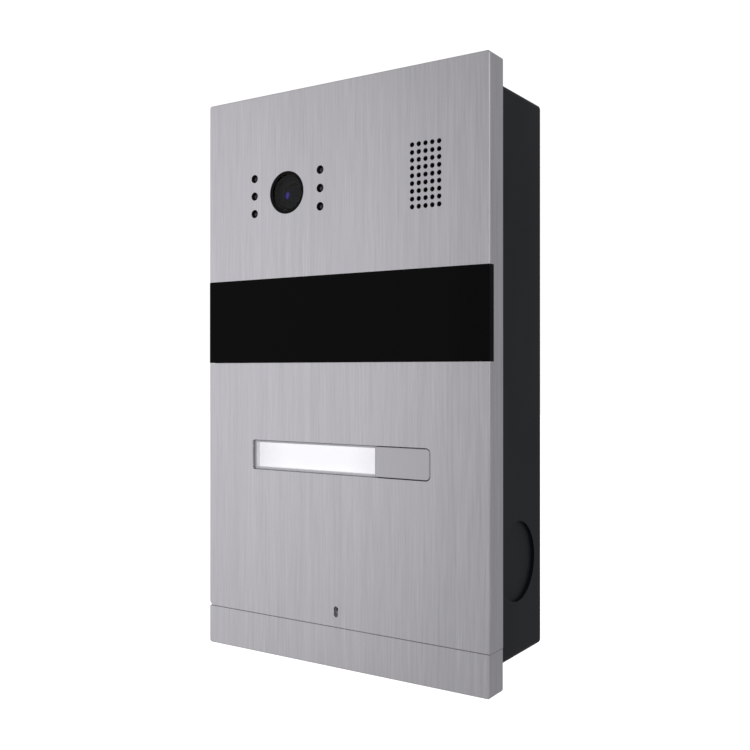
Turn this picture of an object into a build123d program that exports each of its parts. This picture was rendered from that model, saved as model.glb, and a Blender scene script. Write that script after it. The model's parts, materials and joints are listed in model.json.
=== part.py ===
from build123d import *
import math
import os

# Door intercom panel: a metal call panel for a door station, and the moulded box it fits into.
# Millimetres. +Z is up and the front faces -Y. The origin is the centre of the box's rear face.
# Depths are measured behind the front face, so depth 0 is the front and y = FRONT_Y + depth.

# Clearances that several pieces share
PAST = 1.0
FIT = 0.05
PRESS_FIT = 0.02
SCREW_EASE = 0.3

# Faceplate
PLATE_WIDTH = 125.0
PLATE_HEIGHT = 215.0
PLATE_DEPTH = 10.0
PLATE_CORNER = 1.0
EDGE_CHAMFER = 0.35
SKIN = 4.0
SHELF_DEPTH = 6.5
SHELF_WIDTH = 3.0
POCKET_CORNER = 1.5

# Wall box
BOX_INSET = 5.2
BOX_DEPTH = 43.5
BOX_WALL = 2.4
BOX_FLOOR = 2.6
BOX_CORNER = 2.0
BOX_EDGE = 0.5
RIM_GAP = 0.2
GASKET_THICK = 1.5
GASKET_WIDTH = 2.4
WALL_SCREW_X = 60.0
WALL_SCREW_Z = 160.0
WALL_SCREW_R = 2.25
KNOCKOUT_R = 14.5
KNOCKOUT_RECESS = 1.1
KNOCKOUT_UP = 39.8
KNOCKOUT_DEPTH = 33.0
CABLE_WINDOW = (40.0, 26.0)
CABLE_WINDOW_CORNER = 3.0
CABLE_WINDOW_UP = 45.5

# Screws that hold the panel to the box, behind the bottom trim
TRIM_HEIGHT = 14.8
TRIM_THICK = 2.6
TRIM_WRAP = 1.6
TRIM_GAP = 0.1
TRIM_SIDE_GAP = 0.2
TRIM_STANDOFF = 0.4
SEAM_BEVEL = 0.14
NOTCH_IN = 1.2
NOTCH_ABOVE = 3.1
NOTCH_BELOW = 1.2
NOTCH_TIP_UP = 0.4
FIX_SCREW_X = 44.0
FIX_SCREW_UP = 11.0
FIX_SCREW_R = 1.95
FIX_HEAD_R = 3.5
FIX_HEAD = 1.9
FIX_LENGTH = 17.0
FIX_HEAD_EASE = 0.4
BOSS_R = 4.0
BOSS_WEB = 2.4
INSERT_R = 2.9
INSERT_LENGTH = 8.0
INSERT_GROOVE = 1.0
INSERT_GROOVE_DEEP = 0.4
CLIP_X = 22.0
CLIP_WIDTH = 8.0
CLIP_STRIP = 0.4
CLIP_LEG_GAP = 2.4
CLIP_LEG = 6.0
CLIP_BUMP = 0.4
CLIP_EASE = 0.6
RETAINER_START = 14.0
RETAINER_LENGTH = 17.0
RETAINER_HALF_W = 5.0
RETAINER_OUT = 0.63
RETAINER_FOOT = 3.0
RETAINER_RISE = 5.0
RETAINER_GAP = 0.15

# Reader band
BAND_BELOW_TOP = 70.9
BAND_HEIGHT = 32.2
BAND_THICK = 2.8
TAPE_THICK = 0.2
TAPE_INSET = 0.8
BAND_GAP = 0.1
BAND_LEDGE = 4.0
BAND_EDGE = 0.15
BAND_SIDE_LEDGE = 8.0
READER_CORNER = 2.0
COIL_INSET_X = 3.0
COIL_INSET_Z = 1.6
COIL_TURNS = 5
COIL_TRACE = 0.6
COIL_PITCH = 1.2
COIL_THICK = 0.4
READER_BOARD_THICK = 1.2
READER_BOARD_GAP = 0.7
READER_CHIP = (12.0, 1.2, 10.0)

# Camera and infrared lights
CAMERA_FROM_LEFT = 39.45
CAMERA_BELOW_TOP = 38.5
CAMERA_HOLE_R = 8.1
BEZEL_GAP = 0.1
BEZEL_RIM = 1.1
BEZEL_FRONT = 0.2
BEZEL_FLANGE = 1.6
BEZEL_FLANGE_THICK = 1.1
WINDOW_SEAT = 0.6
WINDOW_LAP = 0.4
WINDOW_THICK = 1.5
CAMERA_SEAL = 0.8
BARREL_R = 6.3
BARREL_THREAD_R = 5.9
BARREL_HEAD = 5.5
BARREL_LENGTH = 11.5
BARREL_LIP = 0.7
FRONT_LENS_R = 4.9
FRONT_LENS = (0.5, 3.4)
FRONT_LENS_BULGE = 9.0
REAR_LENS_R = 3.2
REAR_LENS = (7.0, 9.0)
REAR_LENS_BULGE = 5.0
LENS_RIM = 0.6
MOUNT_WALL = 1.5
MOUNT_HEIGHT = 7.0
MOUNT_FOOT = (18.0, 1.8)
CAMERA_BOARD = 30.0
CAMERA_SCREW_R = 0.95
CAMERA_SCREW_INSET = 2.4
SENSOR = (7.2, 1.0, 6.4)
BRACKET_THICK = 1.5
BRACKET_SIDE = 2.0
BRACKET_LEG = 16.0
BRACKET_WINDOW = 18.0
CAMERA_BOARD_DEPTH = 18.0
BOARD_THICK = 1.4
IR_SIDE = 15.8
IR_PITCH = 6.8
IR_HOLE_R = 1.6
LED_R = 1.45
LED_TIP = 0.6
LED_FLANGE = (0.4, 0.9)
LED_FLANGE_DEPTH = 5.0
LED_LEG = 0.4
LED_LEG_X = 0.75
IR_BOARD_DEPTH = 7.2
IR_BOARD_THICK = 1.2
IR_BOARD_HALF_X = 19.0
IR_BOARD_HALF_Z = 10.5
IR_BOARD_BORE_GAP = 1.1

# Speaker and microphone
SPEAKER_FROM_RIGHT = 24.56
GRID_COLUMNS = 5
GRID_ROWS = 9
GRID_PITCH = 2.7
GRID_HOLE_R = 0.875
SPEAKER_R = 14.4
SPEAKER_SEAL = 1.2
SPEAKER_SEAL_THICK = 1.5
MESH_THICK = 0.25
BASKET_DEEP = 5.8
BASKET_SHEET = 0.8
BASKET_RIM = 2.4
BASKET_BORE = 2.0
CONE_THICK = 0.3
CONE_DEEP = 2.6
CONE_SLOPE = 3.2
DOME_R = 3.4
DOME_RISE = 1.2
MAGNET_R = 8.0
MAGNET_THICK = 4.0
MAGNET_EDGE = 0.6
CLAMP_HALF_W = 4.0
CLAMP_STRIP = 1.2
CLAMP_GAP = 1.2
CLAMP_FOOT = 3.2
MIC_UP = 20.5
MIC_SLOT = (1.9, 4.0)
MIC_SLOT_DEEP = 1.3
MIC_HOLE_R = 0.65
MIC_HOLE_UP = 0.7
MIC_R = 2.0
MIC_LENGTH = 2.2
MIC_GROOVE = (0.7, 0.9, 0.15)
BOOT_R = 3.0
BOOT_LENGTH = 4.2
BOOT_FRONT = 1.0

# Name window and call button
BAR_BELOW_TOP = 138.65
BAR_WIDTH = 79.7
BAR_HEIGHT = 11.5
BAR_GAP = 0.25
BAR_CORNER_LEFT = 1.0
BAR_CORNER_RIGHT = 1.8
BUTTON_WIDTH = 22.6
BUTTON_EDGE = 0.25
COVER_THICK = 1.2
COVER_SET_BACK = 0.1
NAME_GAP = 0.25
NAME_WALL = 0.75
CARD_DEPTH = 3.1
CARD_THICK = 0.3
GUIDE_THICK = 2.0
BUTTON_CAP = 3.0
BUTTON_TRAVEL = 0.8
LIP_THICK = 1.5
LIP_REACH = 1.8
FLANGE_DEPTH = 4.6
FLANGE_THICK = 1.6
FLANGE_REACH = 5.0
FLANGE_MARGIN = 2.4
WELL_WALL = 1.2
WELL_GAP = 0.4
HOUSING_SCREW_R = 0.95
HOUSING_SCREW_OUT = 2.6
HOUSING_HOLE_FRONT = 1.6
BACKLIGHT = (3.5, 1.2, 2.8)
BACKLIGHT_COUNT = 4
SWITCH_BOARD_DEPTH = 11.0
SWITCH_BOARD_THICK = 1.2
SWITCH_BOARD_MARGIN = 1.5
SWITCH_BODY = 6.0
SWITCH_HEIGHT = 3.5
PLUNGER_R = 1.7
PLUNGER_GAP = 0.05
SWITCH_FLOOR = 0.6
PLUNGER_END_GAP = 0.4
CARRIER_INSET = 0.4
NUB_R = 2.0
NUB_LENGTH = 0.6
POST_UNDER_SPRING = 0.3
SPRING_POST = 1.4
SPRING_R = 1.45
SPRING_WIRE_R = 0.15
SPRING_TURNS = 6
SPRING_FROM_CENTRE = 7.0

# Main electronics and rear cover
COVER_WALL = 1.6
COVER_SIDE_GAP = 0.3
COVER_TOP_GAP = 2.7
COVER_DEPTH = 35.0
COVER_CORNER = 2.5
COVER_EDGE = 0.8
STUD_R = 3.2
STUD_DEPTH = 12.0
STUD_INSET = 6.4
COVER_SCREW_R = 1.45
COVER_HEAD_R = 2.7
COVER_SCREW_SEAT = 3.0
COVER_SCREW_HEAD = 2.2
COVER_SCREW_LENGTH = 9.0
PILLAR_WALL = 1.3
MAIN_BOARD_DEPTH = 23.0
MAIN_BOARD_THICK = 1.6
MAIN_BOARD_INSET = 9.0
MAIN_BOARD_END_INSET = 13.0
MAIN_BOARD_CORNER = 1.5
POST_INSET = 5.0
POST_R = 3.0
POST_BORE_R = 1.25
BOARD_SCREW_R = 1.2
CHIP_LAYOUT = [(-14, 30, 7.0, 1.2), (14, 32, 5.0, 1.0), (-12, 6, 4.0, 1.0), (12, 4, 3.2, 1.4)]
CAPACITOR_LAYOUT = [(-1, 16, 4.0), (-1, 4, 3.15), (1, 30, 3.15), (-1, 30, 2.5)]
CAPACITOR_HEIGHT = 7.5
CAPACITOR_INSET = 8.0
RELAY = (15.0, 8.2, 10.0)
RELAY_INSET = 6.0
RELAY_BELOW_MID = 22.0
PART_EDGE = 0.4
TERMINAL_WAYS = 8
TERMINAL_PITCH = 5.08
TERMINAL_HEIGHT = 11.4
TERMINAL_DEEP = 10.0
TERMINAL_UP = 9.0
TERMINAL_EASE = 0.8
TERMINAL_WELL_R = 1.9
TERMINAL_WELL = 4.5
TERMINAL_WELL_UP = 1.2
TERMINAL_MOUTH = (3.4, 5.2, 8.2)
TERMINAL_SCREW_R = 1.8
TERMINAL_SCREW_SUNK = 0.8
TERMINAL_SLOT = (0.7, 0.8)
SOCKET = (6.0, 4.0, 4.4)
WIRE_R = 0.55

# Places that follow from the sizes above
FRONT_Y = -(PLATE_DEPTH + BOX_DEPTH)
HALF_W = PLATE_WIDTH / 2
HALF_H = PLATE_HEIGHT / 2
BOX_HALF_W = HALF_W - BOX_INSET
BOX_HALF_H = HALF_H - BOX_INSET
BOX_RIM_DEPTH = SHELF_DEPTH + GASKET_THICK
BOX_BACK_DEPTH = PLATE_DEPTH + BOX_DEPTH
RIM_HALF_W = BOX_HALF_W + RIM_GAP
RIM_HALF_H = BOX_HALF_H + RIM_GAP
POCKET_HALF_W = RIM_HALF_W - SHELF_WIDTH
POCKET_TOP = RIM_HALF_H - SHELF_WIDTH
SEAM_Z = -HALF_H + TRIM_HEIGHT
POCKET_BOTTOM = SEAM_Z + 0.3
TRIM_INSIDE = HALF_W - TRIM_WRAP
LAND_FRONT = TRIM_THICK + TRIM_STANDOFF
FIX_SCREW_Z = -HALF_H + FIX_SCREW_UP
FIX_SEAT = LAND_FRONT + FIX_HEAD + FIX_HEAD_EASE / 2
BAND_TOP = HALF_H - BAND_BELOW_TOP
BAND_MID = BAND_TOP - BAND_HEIGHT / 2
CAMERA_X = -HALF_W + CAMERA_FROM_LEFT
CAMERA_Z = HALF_H - CAMERA_BELOW_TOP
BEZEL_R = CAMERA_HOLE_R - BEZEL_GAP
WINDOW_R = BEZEL_R - BEZEL_RIM + WINDOW_LAP - FIT
WINDOW_BACK = WINDOW_SEAT + WINDOW_THICK
BARREL_FRONT = WINDOW_BACK + CAMERA_SEAL
SPEAKER_X = HALF_W - SPEAKER_FROM_RIGHT
SPEAKER_Z = CAMERA_Z
BASKET_FRONT = SKIN + MESH_THICK + SPEAKER_SEAL_THICK
MAGNET_FRONT = BASKET_FRONT + BASKET_DEEP
MAGNET_BACK = MAGNET_FRONT + MAGNET_THICK
MIC_Z = -HALF_H + MIC_UP
BAR_Z = HALF_H - BAR_BELOW_TOP
BAR_LEFT = -BAR_WIDTH / 2
BAR_RIGHT = BAR_WIDTH / 2
BUTTON_RIGHT = BAR_RIGHT - BAR_GAP
BUTTON_LEFT = BAR_RIGHT - BUTTON_WIDTH
BUTTON_X = (BUTTON_LEFT + BUTTON_RIGHT) / 2
NAME_LEFT = BAR_LEFT + BAR_GAP
NAME_RIGHT = BUTTON_LEFT - NAME_GAP
NAME_BACK = COVER_SET_BACK + COVER_THICK
BAR_HALF = BAR_HEIGHT / 2 - BAR_GAP
TRAY_HALF = BAR_HALF - NAME_WALL
LIP_DEPTH = SKIN + 2 * FIT
LIP_BACK = LIP_DEPTH + LIP_THICK
WELL_HALF = BAR_HALF + LIP_REACH + WELL_GAP
WELL_RIGHT = BUTTON_RIGHT + LIP_REACH + WELL_GAP
FLANGE_HALF = WELL_HALF + FLANGE_MARGIN
GASKET_HALF_W = BAR_WIDTH / 2 + FLANGE_REACH
SWITCH_FRONT = SWITCH_BOARD_DEPTH - SWITCH_HEIGHT
PLUNGER_TIP = LIP_BACK + NUB_LENGTH
COVER_HALF_W = POCKET_HALF_W - COVER_SIDE_GAP
COVER_TOP = POCKET_TOP - COVER_TOP_GAP
COVER_BOTTOM = POCKET_BOTTOM + COVER_SIDE_GAP
STUDS = [
    (side * (COVER_HALF_W - STUD_INSET), z)
    for side in (-1, 1)
    for z in (COVER_BOTTOM + STUD_INSET + 2, COVER_TOP - STUD_INSET)
]
BOARD_HALF_W = COVER_HALF_W - MAIN_BOARD_INSET
BOARD_TOP = COVER_TOP - MAIN_BOARD_END_INSET
BOARD_BOTTOM = COVER_BOTTOM + MAIN_BOARD_END_INSET
BOARD_BACK = MAIN_BOARD_DEPTH + MAIN_BOARD_THICK
POSTS = [
    (side * (BOARD_HALF_W - POST_INSET), z)
    for side in (-1, 1)
    for z in (BOARD_BOTTOM + POST_INSET, BOARD_TOP - POST_INSET)
]
BOARD_MID = (BOARD_BOTTOM + BOARD_TOP) / 2
TERMINAL_WIDTH = TERMINAL_WAYS * TERMINAL_PITCH
TERMINAL_Z = BOARD_BOTTOM + TERMINAL_UP


def slab(x0, x1, d0, d1, z0, z1):
    """A plain block between two widths, two depths and two heights."""
    centre = Pos((x0 + x1) / 2, FRONT_Y + (d0 + d1) / 2, (z0 + z1) / 2)
    return centre * Box(x1 - x0, d1 - d0, z1 - z0)


def prism(outline, d0, d1):
    """A flat outline, drawn in x and z, made solid from depth d0 to depth d1."""
    return extrude(Plane.XZ.offset(-(FRONT_Y + d1)) * outline, d1 - d0)


def rounded_slab(x0, x1, d0, d1, z0, z1, r):
    """A block with its four depthwise edges rounded."""
    outline = Pos((x0 + x1) / 2, (z0 + z1) / 2) * RectangleRounded(x1 - x0, z1 - z0, r)
    return prism(outline, d0, d1)


def rod(x, z, d0, d1, r):
    """A round bar along the depth."""
    return prism(Pos(x, z) * Circle(r), d0, d1)


def tube(x, z, d0, d1, outer, inner):
    """A round tube along the depth."""
    return rod(x, z, d0, d1, outer) - rod(x, z, d0, d1, inner)


def turned(points, x=0.0, z=0.0):
    """A piece turned about a depthwise axis, from a closed row of (radius, depth) points."""
    profile = make_face(Polyline(*points, close=True))
    return Pos(x, FRONT_Y, z) * revolve(profile, Axis.Y)


def screw(x, z, d_head, head, head_r, shank_r, length, toward_front=True):
    """A pan-head screw with a cross slot, its head's seat at depth d_head."""
    way = -1 if toward_front else 1
    head_ends = sorted((d_head, d_head - way * head))
    shank_ends = sorted((d_head, d_head + way * length))
    body = rod(x, z, *head_ends, head_r) + rod(x, z, *shank_ends, shank_r)
    slot_ends = sorted((d_head - way * head * 0.45, d_head - way * (head + 0.1)))
    for wide, tall in ((1.15, 0.22), (0.22, 1.15)):
        reach_x, reach_z = wide * head_r * 0.5, tall * head_r * 0.5
        body -= slab(x - reach_x, x + reach_x, *slot_ends, z - reach_z, z + reach_z)
    return body


def lens(x, z, r, front, back, bulge_r):
    """A lens with a domed front and a flat back, its dome's top at the front depth."""
    ball = Pos(x, FRONT_Y + front + bulge_r, z) * Sphere(bulge_r)
    return rod(x, z, front - 0.1, back, r) & ball


def wire(points, r):
    """A round wire along straight runs joined by arcs, from (x, depth, z) points."""
    corners = [(x, FRONT_Y + d, z) for x, d, z in points]
    runs = [math.dist(a, b) for a, b in zip(corners, corners[1:])]
    radii = [max(3 * r, 0.4 * min(pair)) for pair in zip(runs, runs[1:])]
    path = FilletPolyline(*corners, radius=radii) if radii else Polyline(*corners)
    start = Plane(origin=path @ 0, z_dir=path % 0)
    return sweep(start * Circle(r), path=path)


# Wall box ---------------------------------------------------------------------------------------

def wall_screws():
    """The four places where screws hold the box to the wall."""
    return [(i * WALL_SCREW_X / 2, j * WALL_SCREW_Z / 2) for i in (-1, 1) for j in (-1, 1)]


def back_box():
    """The moulded wall box: open at the front, with knock-outs, a cable window and two bosses."""
    inner = BOX_CORNER / 2
    box = rounded_slab(
        -BOX_HALF_W, BOX_HALF_W, BOX_RIM_DEPTH, BOX_BACK_DEPTH, -BOX_HALF_H, BOX_HALF_H, BOX_CORNER
    )
    box = chamfer(box.faces().sort_by(Axis.Y)[-1].edges(), BOX_EDGE)
    hollow_w, hollow_h = BOX_HALF_W - BOX_WALL, BOX_HALF_H - BOX_WALL
    floor = BOX_BACK_DEPTH - BOX_FLOOR
    box -= rounded_slab(-hollow_w, hollow_w, 0, floor, -hollow_h, hollow_h, inner)
    for side in (-1, 1):
        boss = rod(side * FIX_SCREW_X, FIX_SCREW_Z, BOX_RIM_DEPTH, floor, BOSS_R)
        web = slab(
            side * FIX_SCREW_X - BOSS_WEB / 2, side * FIX_SCREW_X + BOSS_WEB / 2,
            BOX_RIM_DEPTH, floor, -BOX_HALF_H + BOX_WALL / 2, FIX_SCREW_Z,
        )
        box += (boss + web) & slab(
            -BOX_HALF_W, BOX_HALF_W, 0, BOX_BACK_DEPTH, -BOX_HALF_H + BOX_WALL / 2, BOX_HALF_H
        )
        box -= rod(side * FIX_SCREW_X, FIX_SCREW_Z, 0, BOX_RIM_DEPTH + INSERT_LENGTH, INSERT_R)
        bore_r = FIX_SCREW_R + SCREW_EASE
        box -= rod(side * FIX_SCREW_X, FIX_SCREW_Z, 0, BOX_RIM_DEPTH + FIX_LENGTH, bore_r)
        disc = Rot(0, 90, 0) * Cylinder(KNOCKOUT_R, 2 * KNOCKOUT_RECESS)
        box -= Pos(side * BOX_HALF_W, FRONT_Y + KNOCKOUT_DEPTH, -HALF_H + KNOCKOUT_UP) * disc
    for x, z in wall_screws():
        box -= rod(x, z, floor - PAST, BOX_BACK_DEPTH + PAST, WALL_SCREW_R)
    wide, tall = CABLE_WINDOW
    window_z = -HALF_H + CABLE_WINDOW_UP
    box -= rounded_slab(
        -wide / 2, wide / 2, floor - PAST, BOX_BACK_DEPTH + PAST,
        window_z - tall / 2, window_z + tall / 2, CABLE_WINDOW_CORNER,
    )
    return box


def box_inserts():
    """The two brass threaded inserts in the box's bosses."""
    pieces = []
    for side in (-1, 1):
        x, z = side * FIX_SCREW_X, FIX_SCREW_Z
        body = tube(
            x, z, BOX_RIM_DEPTH, BOX_RIM_DEPTH + INSERT_LENGTH, INSERT_R - PRESS_FIT, FIX_SCREW_R + FIT
        )
        groove = BOX_RIM_DEPTH + (INSERT_LENGTH - INSERT_GROOVE) / 2
        groove_r = INSERT_R - INSERT_GROOVE_DEEP
        body -= tube(x, z, groove, groove + INSERT_GROOVE, INSERT_R + PAST, groove_r)
        pieces.append(body)
    return pieces


# Faceplate and trim -----------------------------------------------------------------------------

def plate_blank():
    """The whole front's outer shape, with its fine bright chamfer, before it is split."""
    blank = rounded_slab(-HALF_W, HALF_W, 0, PLATE_DEPTH, -HALF_H, HALF_H, PLATE_CORNER)
    return chamfer(blank.faces().sort_by(Axis.Y)[0].edges(), EDGE_CHAMFER)


def pry_notch():
    """The small notch at the seam's left end, where a blade lifts the trim off."""
    tip = (-HALF_W + NOTCH_IN, SEAM_Z + NOTCH_TIP_UP)
    outside = -HALF_W - PAST
    points = [(outside, SEAM_Z + NOTCH_ABOVE), tip, (outside, SEAM_Z - NOTCH_BELOW)]
    return prism(make_face(Polyline(*points, close=True)), -PAST, TRIM_THICK)


def seam_bevel(z):
    """A long three-sided bar that bevels an edge on the seam."""
    side = SEAM_BEVEL * math.sqrt(2)
    diamond = Rot(45, 0, 0) * Box(PLATE_WIDTH + 2 * PAST, side, side)
    return Pos(0, FRONT_Y, z) * diamond


def grid_holes():
    """The places of the speaker's holes."""
    return [
        (
            SPEAKER_X + (i - (GRID_COLUMNS - 1) / 2) * GRID_PITCH,
            SPEAKER_Z + (j - (GRID_ROWS - 1) / 2) * GRID_PITCH,
        )
        for i in range(GRID_COLUMNS)
        for j in range(GRID_ROWS)
    ]


def ir_places():
    """The places of the infrared lights, three on each side of the camera."""
    return [(CAMERA_X + i * IR_SIDE, CAMERA_Z + j * IR_PITCH) for i in (-1, 1) for j in (-1, 0, 1)]


def housing_screw_places():
    """The two screws that hold the name housing to the faceplate."""
    return [(side * (GASKET_HALF_W + HOUSING_SCREW_OUT), BAR_Z) for side in (-1, 1)]


def bar_outline(gap, left, right):
    """The bar's outline from one end to the other, with its smaller left and larger right corners."""
    half = BAR_HEIGHT / 2 - gap
    corners = [(left, -half), (right, -half), (right, half), (left, half)]
    outline = make_face(Polyline(*corners, close=True))
    return Pos(0, BAR_Z) * outline


def bar_opening():
    """The opening that the name window and the call button share."""
    block = prism(bar_outline(0, BAR_LEFT, BAR_RIGHT), -PAST, SKIN + PAST)
    edges = block.edges().filter_by(Axis.Y).sort_by(Axis.X)
    block = fillet(edges[:2], BAR_CORNER_LEFT)
    edges = block.edges().filter_by(Axis.Y).sort_by(Axis.X)
    return fillet(edges[-2:], BAR_CORNER_RIGHT)


def faceplate():
    """The brushed metal front: a shallow tray with a groove for the band and a land for the trim."""
    plate = plate_blank()
    past_w = HALF_W + PAST
    seam_top = SEAM_Z + TRIM_GAP / 2
    plate -= slab(-past_w, past_w, -PAST, PLATE_DEPTH + PAST, -HALF_H - PAST, seam_top)
    inside = TRIM_INSIDE - TRIM_SIDE_GAP
    plate += slab(
        -inside, inside, LAND_FRONT, PLATE_DEPTH, -HALF_H + TRIM_WRAP + TRIM_SIDE_GAP, SEAM_Z + PAST
    )
    plate -= seam_bevel(seam_top) & slab(
        -past_w, past_w, -PAST, LAND_FRONT, SEAM_Z - PAST, SEAM_Z + PAST
    )
    plate -= pry_notch()
    # Inside: the pocket behind the skin, then the shelf and the rim that takes the box
    plate -= rounded_slab(
        -POCKET_HALF_W, POCKET_HALF_W, SKIN, PLATE_DEPTH + PAST, POCKET_BOTTOM, POCKET_TOP,
        POCKET_CORNER,
    )
    plate -= rounded_slab(
        -RIM_HALF_W, RIM_HALF_W, SHELF_DEPTH, PLATE_DEPTH + PAST, -RIM_HALF_H, RIM_HALF_H, BOX_CORNER
    )
    # Reader band: a full-width groove and the open window behind it
    groove = BAND_THICK + TAPE_THICK
    plate -= slab(
        -past_w, past_w, -PAST, groove,
        BAND_MID - BAND_HEIGHT / 2 - BAND_GAP, BAND_MID + BAND_HEIGHT / 2 + BAND_GAP,
    )
    reader_x, reader_z = reader_aperture()
    plate -= rounded_slab(
        -reader_x, reader_x, 0, SKIN + PAST, BAND_MID - reader_z, BAND_MID + reader_z, READER_CORNER
    )
    # Holes for the camera, the lights, the speaker and the microphone
    holes = [(CAMERA_X, CAMERA_Z, CAMERA_HOLE_R), (0, MIC_Z + MIC_HOLE_UP, MIC_HOLE_R)]
    holes += [(x, z, IR_HOLE_R) for x, z in ir_places()]
    holes += [(x, z, GRID_HOLE_R) for x, z in grid_holes()]
    for x, z, r in holes:
        plate -= rod(x, z, -PAST, SKIN + PAST, r)
    wide, tall = MIC_SLOT
    plate -= prism(Pos(0, MIC_Z) * Rot(0, 0, 90) * SlotOverall(tall, wide), -PAST, MIC_SLOT_DEEP)
    plate -= bar_opening()
    # Studs for the rear cover, and blind holes for the name housing
    for x, z in STUDS:
        plate += rod(x, z, SKIN / 2, STUD_DEPTH, STUD_R)
        plate -= rod(x, z, SKIN, STUD_DEPTH + PAST, COVER_SCREW_R + FIT)
    for x, z in housing_screw_places():
        plate -= rod(x, z, HOUSING_HOLE_FRONT, SKIN + PAST, HOUSING_SCREW_R + FIT)
    # The land under the trim: screw holes and slots for the trim's clips
    for side in (-1, 1):
        x = side * FIX_SCREW_X
        plate -= rod(x, FIX_SCREW_Z, LAND_FRONT - PAST, FIX_SEAT, FIX_HEAD_R + FIX_HEAD_EASE)
        plate -= rod(x, FIX_SCREW_Z, 0, PLATE_DEPTH, FIX_SCREW_R + SCREW_EASE)
        plate -= clip_slot(side * CLIP_X)
    return plate


def clip_slot(x):
    """A slot in the land for one of the trim's clips."""
    tall = CLIP_LEG_GAP / 2 + CLIP_STRIP + CLIP_EASE
    wide = CLIP_WIDTH / 2 + CLIP_EASE
    return slab(
        x - wide, x + wide, LAND_FRONT - PAST, PLATE_DEPTH, FIX_SCREW_Z - tall, FIX_SCREW_Z + tall
    )


def bottom_trim():
    """The strip below the seam: a cover that wraps the lower end and hides the fixing screws."""
    trim = plate_blank() & slab(
        -HALF_W - PAST, HALF_W + PAST, -PAST, PLATE_DEPTH - TRIM_SIDE_GAP,
        -HALF_H - PAST, SEAM_Z - TRIM_GAP / 2,
    )
    trim -= slab(
        -TRIM_INSIDE, TRIM_INSIDE, TRIM_THICK, PLATE_DEPTH + PAST, -HALF_H + TRIM_WRAP, SEAM_Z + PAST
    )
    trim -= seam_bevel(SEAM_Z - TRIM_GAP / 2)
    trim -= pry_notch()
    return trim


def trim_clips():
    """The two spring clips on the back of the trim, each with two legs that grip the land."""
    pieces = []
    for side in (-1, 1):
        x0, x1 = side * CLIP_X - CLIP_WIDTH / 2, side * CLIP_X + CLIP_WIDTH / 2
        gap = CLIP_LEG_GAP / 2
        back = TRIM_THICK + CLIP_STRIP - FIT
        clip = slab(
            x0, x1, TRIM_THICK, back, FIX_SCREW_Z - gap - CLIP_STRIP, FIX_SCREW_Z + gap + CLIP_STRIP
        )
        for way in (-1, 1):
            edges = sorted((FIX_SCREW_Z + way * gap, FIX_SCREW_Z + way * (gap + CLIP_STRIP)))
            clip += slab(x0, x1, TRIM_THICK, back + CLIP_LEG, *edges)
            bump_r = CLIP_STRIP + CLIP_BUMP
            bump = Pos(side * CLIP_X, FRONT_Y + back + CLIP_LEG - bump_r, FIX_SCREW_Z + way * gap)
            clip += bump * Rot(0, 90, 0) * Cylinder(bump_r, CLIP_WIDTH)
        pieces.append(clip)
    return pieces


def perimeter_gasket():
    """The foam seal between the faceplate's shelf and the box's rim."""
    ring = rounded_slab(
        -BOX_HALF_W, BOX_HALF_W, SHELF_DEPTH, BOX_RIM_DEPTH, -BOX_HALF_H, BOX_HALF_H, BOX_CORNER
    )
    inner_w, inner_h = BOX_HALF_W - GASKET_WIDTH, BOX_HALF_H - GASKET_WIDTH
    return ring - rounded_slab(-inner_w, inner_w, 0, PLATE_DEPTH, -inner_h, inner_h, BOX_CORNER / 4)


def fixing_screws():
    """The two screws behind the trim that hold the panel in its box."""
    return [
        screw(
            side * FIX_SCREW_X, FIX_SCREW_Z, FIX_SEAT,
            FIX_HEAD, FIX_HEAD_R, FIX_SCREW_R, FIX_LENGTH, toward_front=False,
        )
        for side in (-1, 1)
    ]


def retaining_clips():
    """The two arched spring leaves on top of the rear cover that grip the box's upper wall."""
    low = COVER_TOP
    high = BOX_HALF_H - BOX_WALL - RETAINER_GAP - CLIP_STRIP
    start, end = RETAINER_START, RETAINER_START + RETAINER_LENGTH
    rise = RETAINER_FOOT + RETAINER_RISE
    profile = [
        (start, low), (start + RETAINER_FOOT, low), (start + rise, high),
        (end - rise, high), (end - RETAINER_FOOT, low), (end, low),
    ]
    upper = [(d, z + CLIP_STRIP) for d, z in reversed(profile)]
    outline = make_face(Polyline(*[(FRONT_Y + d, z) for d, z in profile + upper], close=True))
    leaf = extrude(Plane.YZ * outline, RETAINER_HALF_W, both=True)
    return [Pos(side * COVER_HALF_W * RETAINER_OUT, 0, 0) * leaf for side in (-1, 1)]


# Reader -----------------------------------------------------------------------------------------

def reader_aperture():
    """Half the width and half the height of the opening behind the band."""
    return POCKET_HALF_W - BAND_SIDE_LEDGE, BAND_HEIGHT / 2 - BAND_LEDGE


def reader_window():
    """The glossy black band, laid flush in the groove from edge to edge."""
    band = slab(
        -HALF_W, HALF_W, 0, BAND_THICK, BAND_MID - BAND_HEIGHT / 2, BAND_MID + BAND_HEIGHT / 2
    )
    return chamfer(band.faces().sort_by(Axis.Y)[0].edges(), BAND_EDGE)


def reader_tape():
    """The thin adhesive frame that holds the band in its groove."""
    reader_x, reader_z = reader_aperture()
    ring = slab(
        -HALF_W + TAPE_INSET, HALF_W - TAPE_INSET, BAND_THICK, BAND_THICK + TAPE_THICK,
        BAND_MID - BAND_HEIGHT / 2 + TAPE_INSET, BAND_MID + BAND_HEIGHT / 2 - TAPE_INSET,
    )
    return ring - slab(
        -reader_x, reader_x, 0, SKIN, BAND_MID - reader_z, BAND_MID + reader_z
    )


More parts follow.
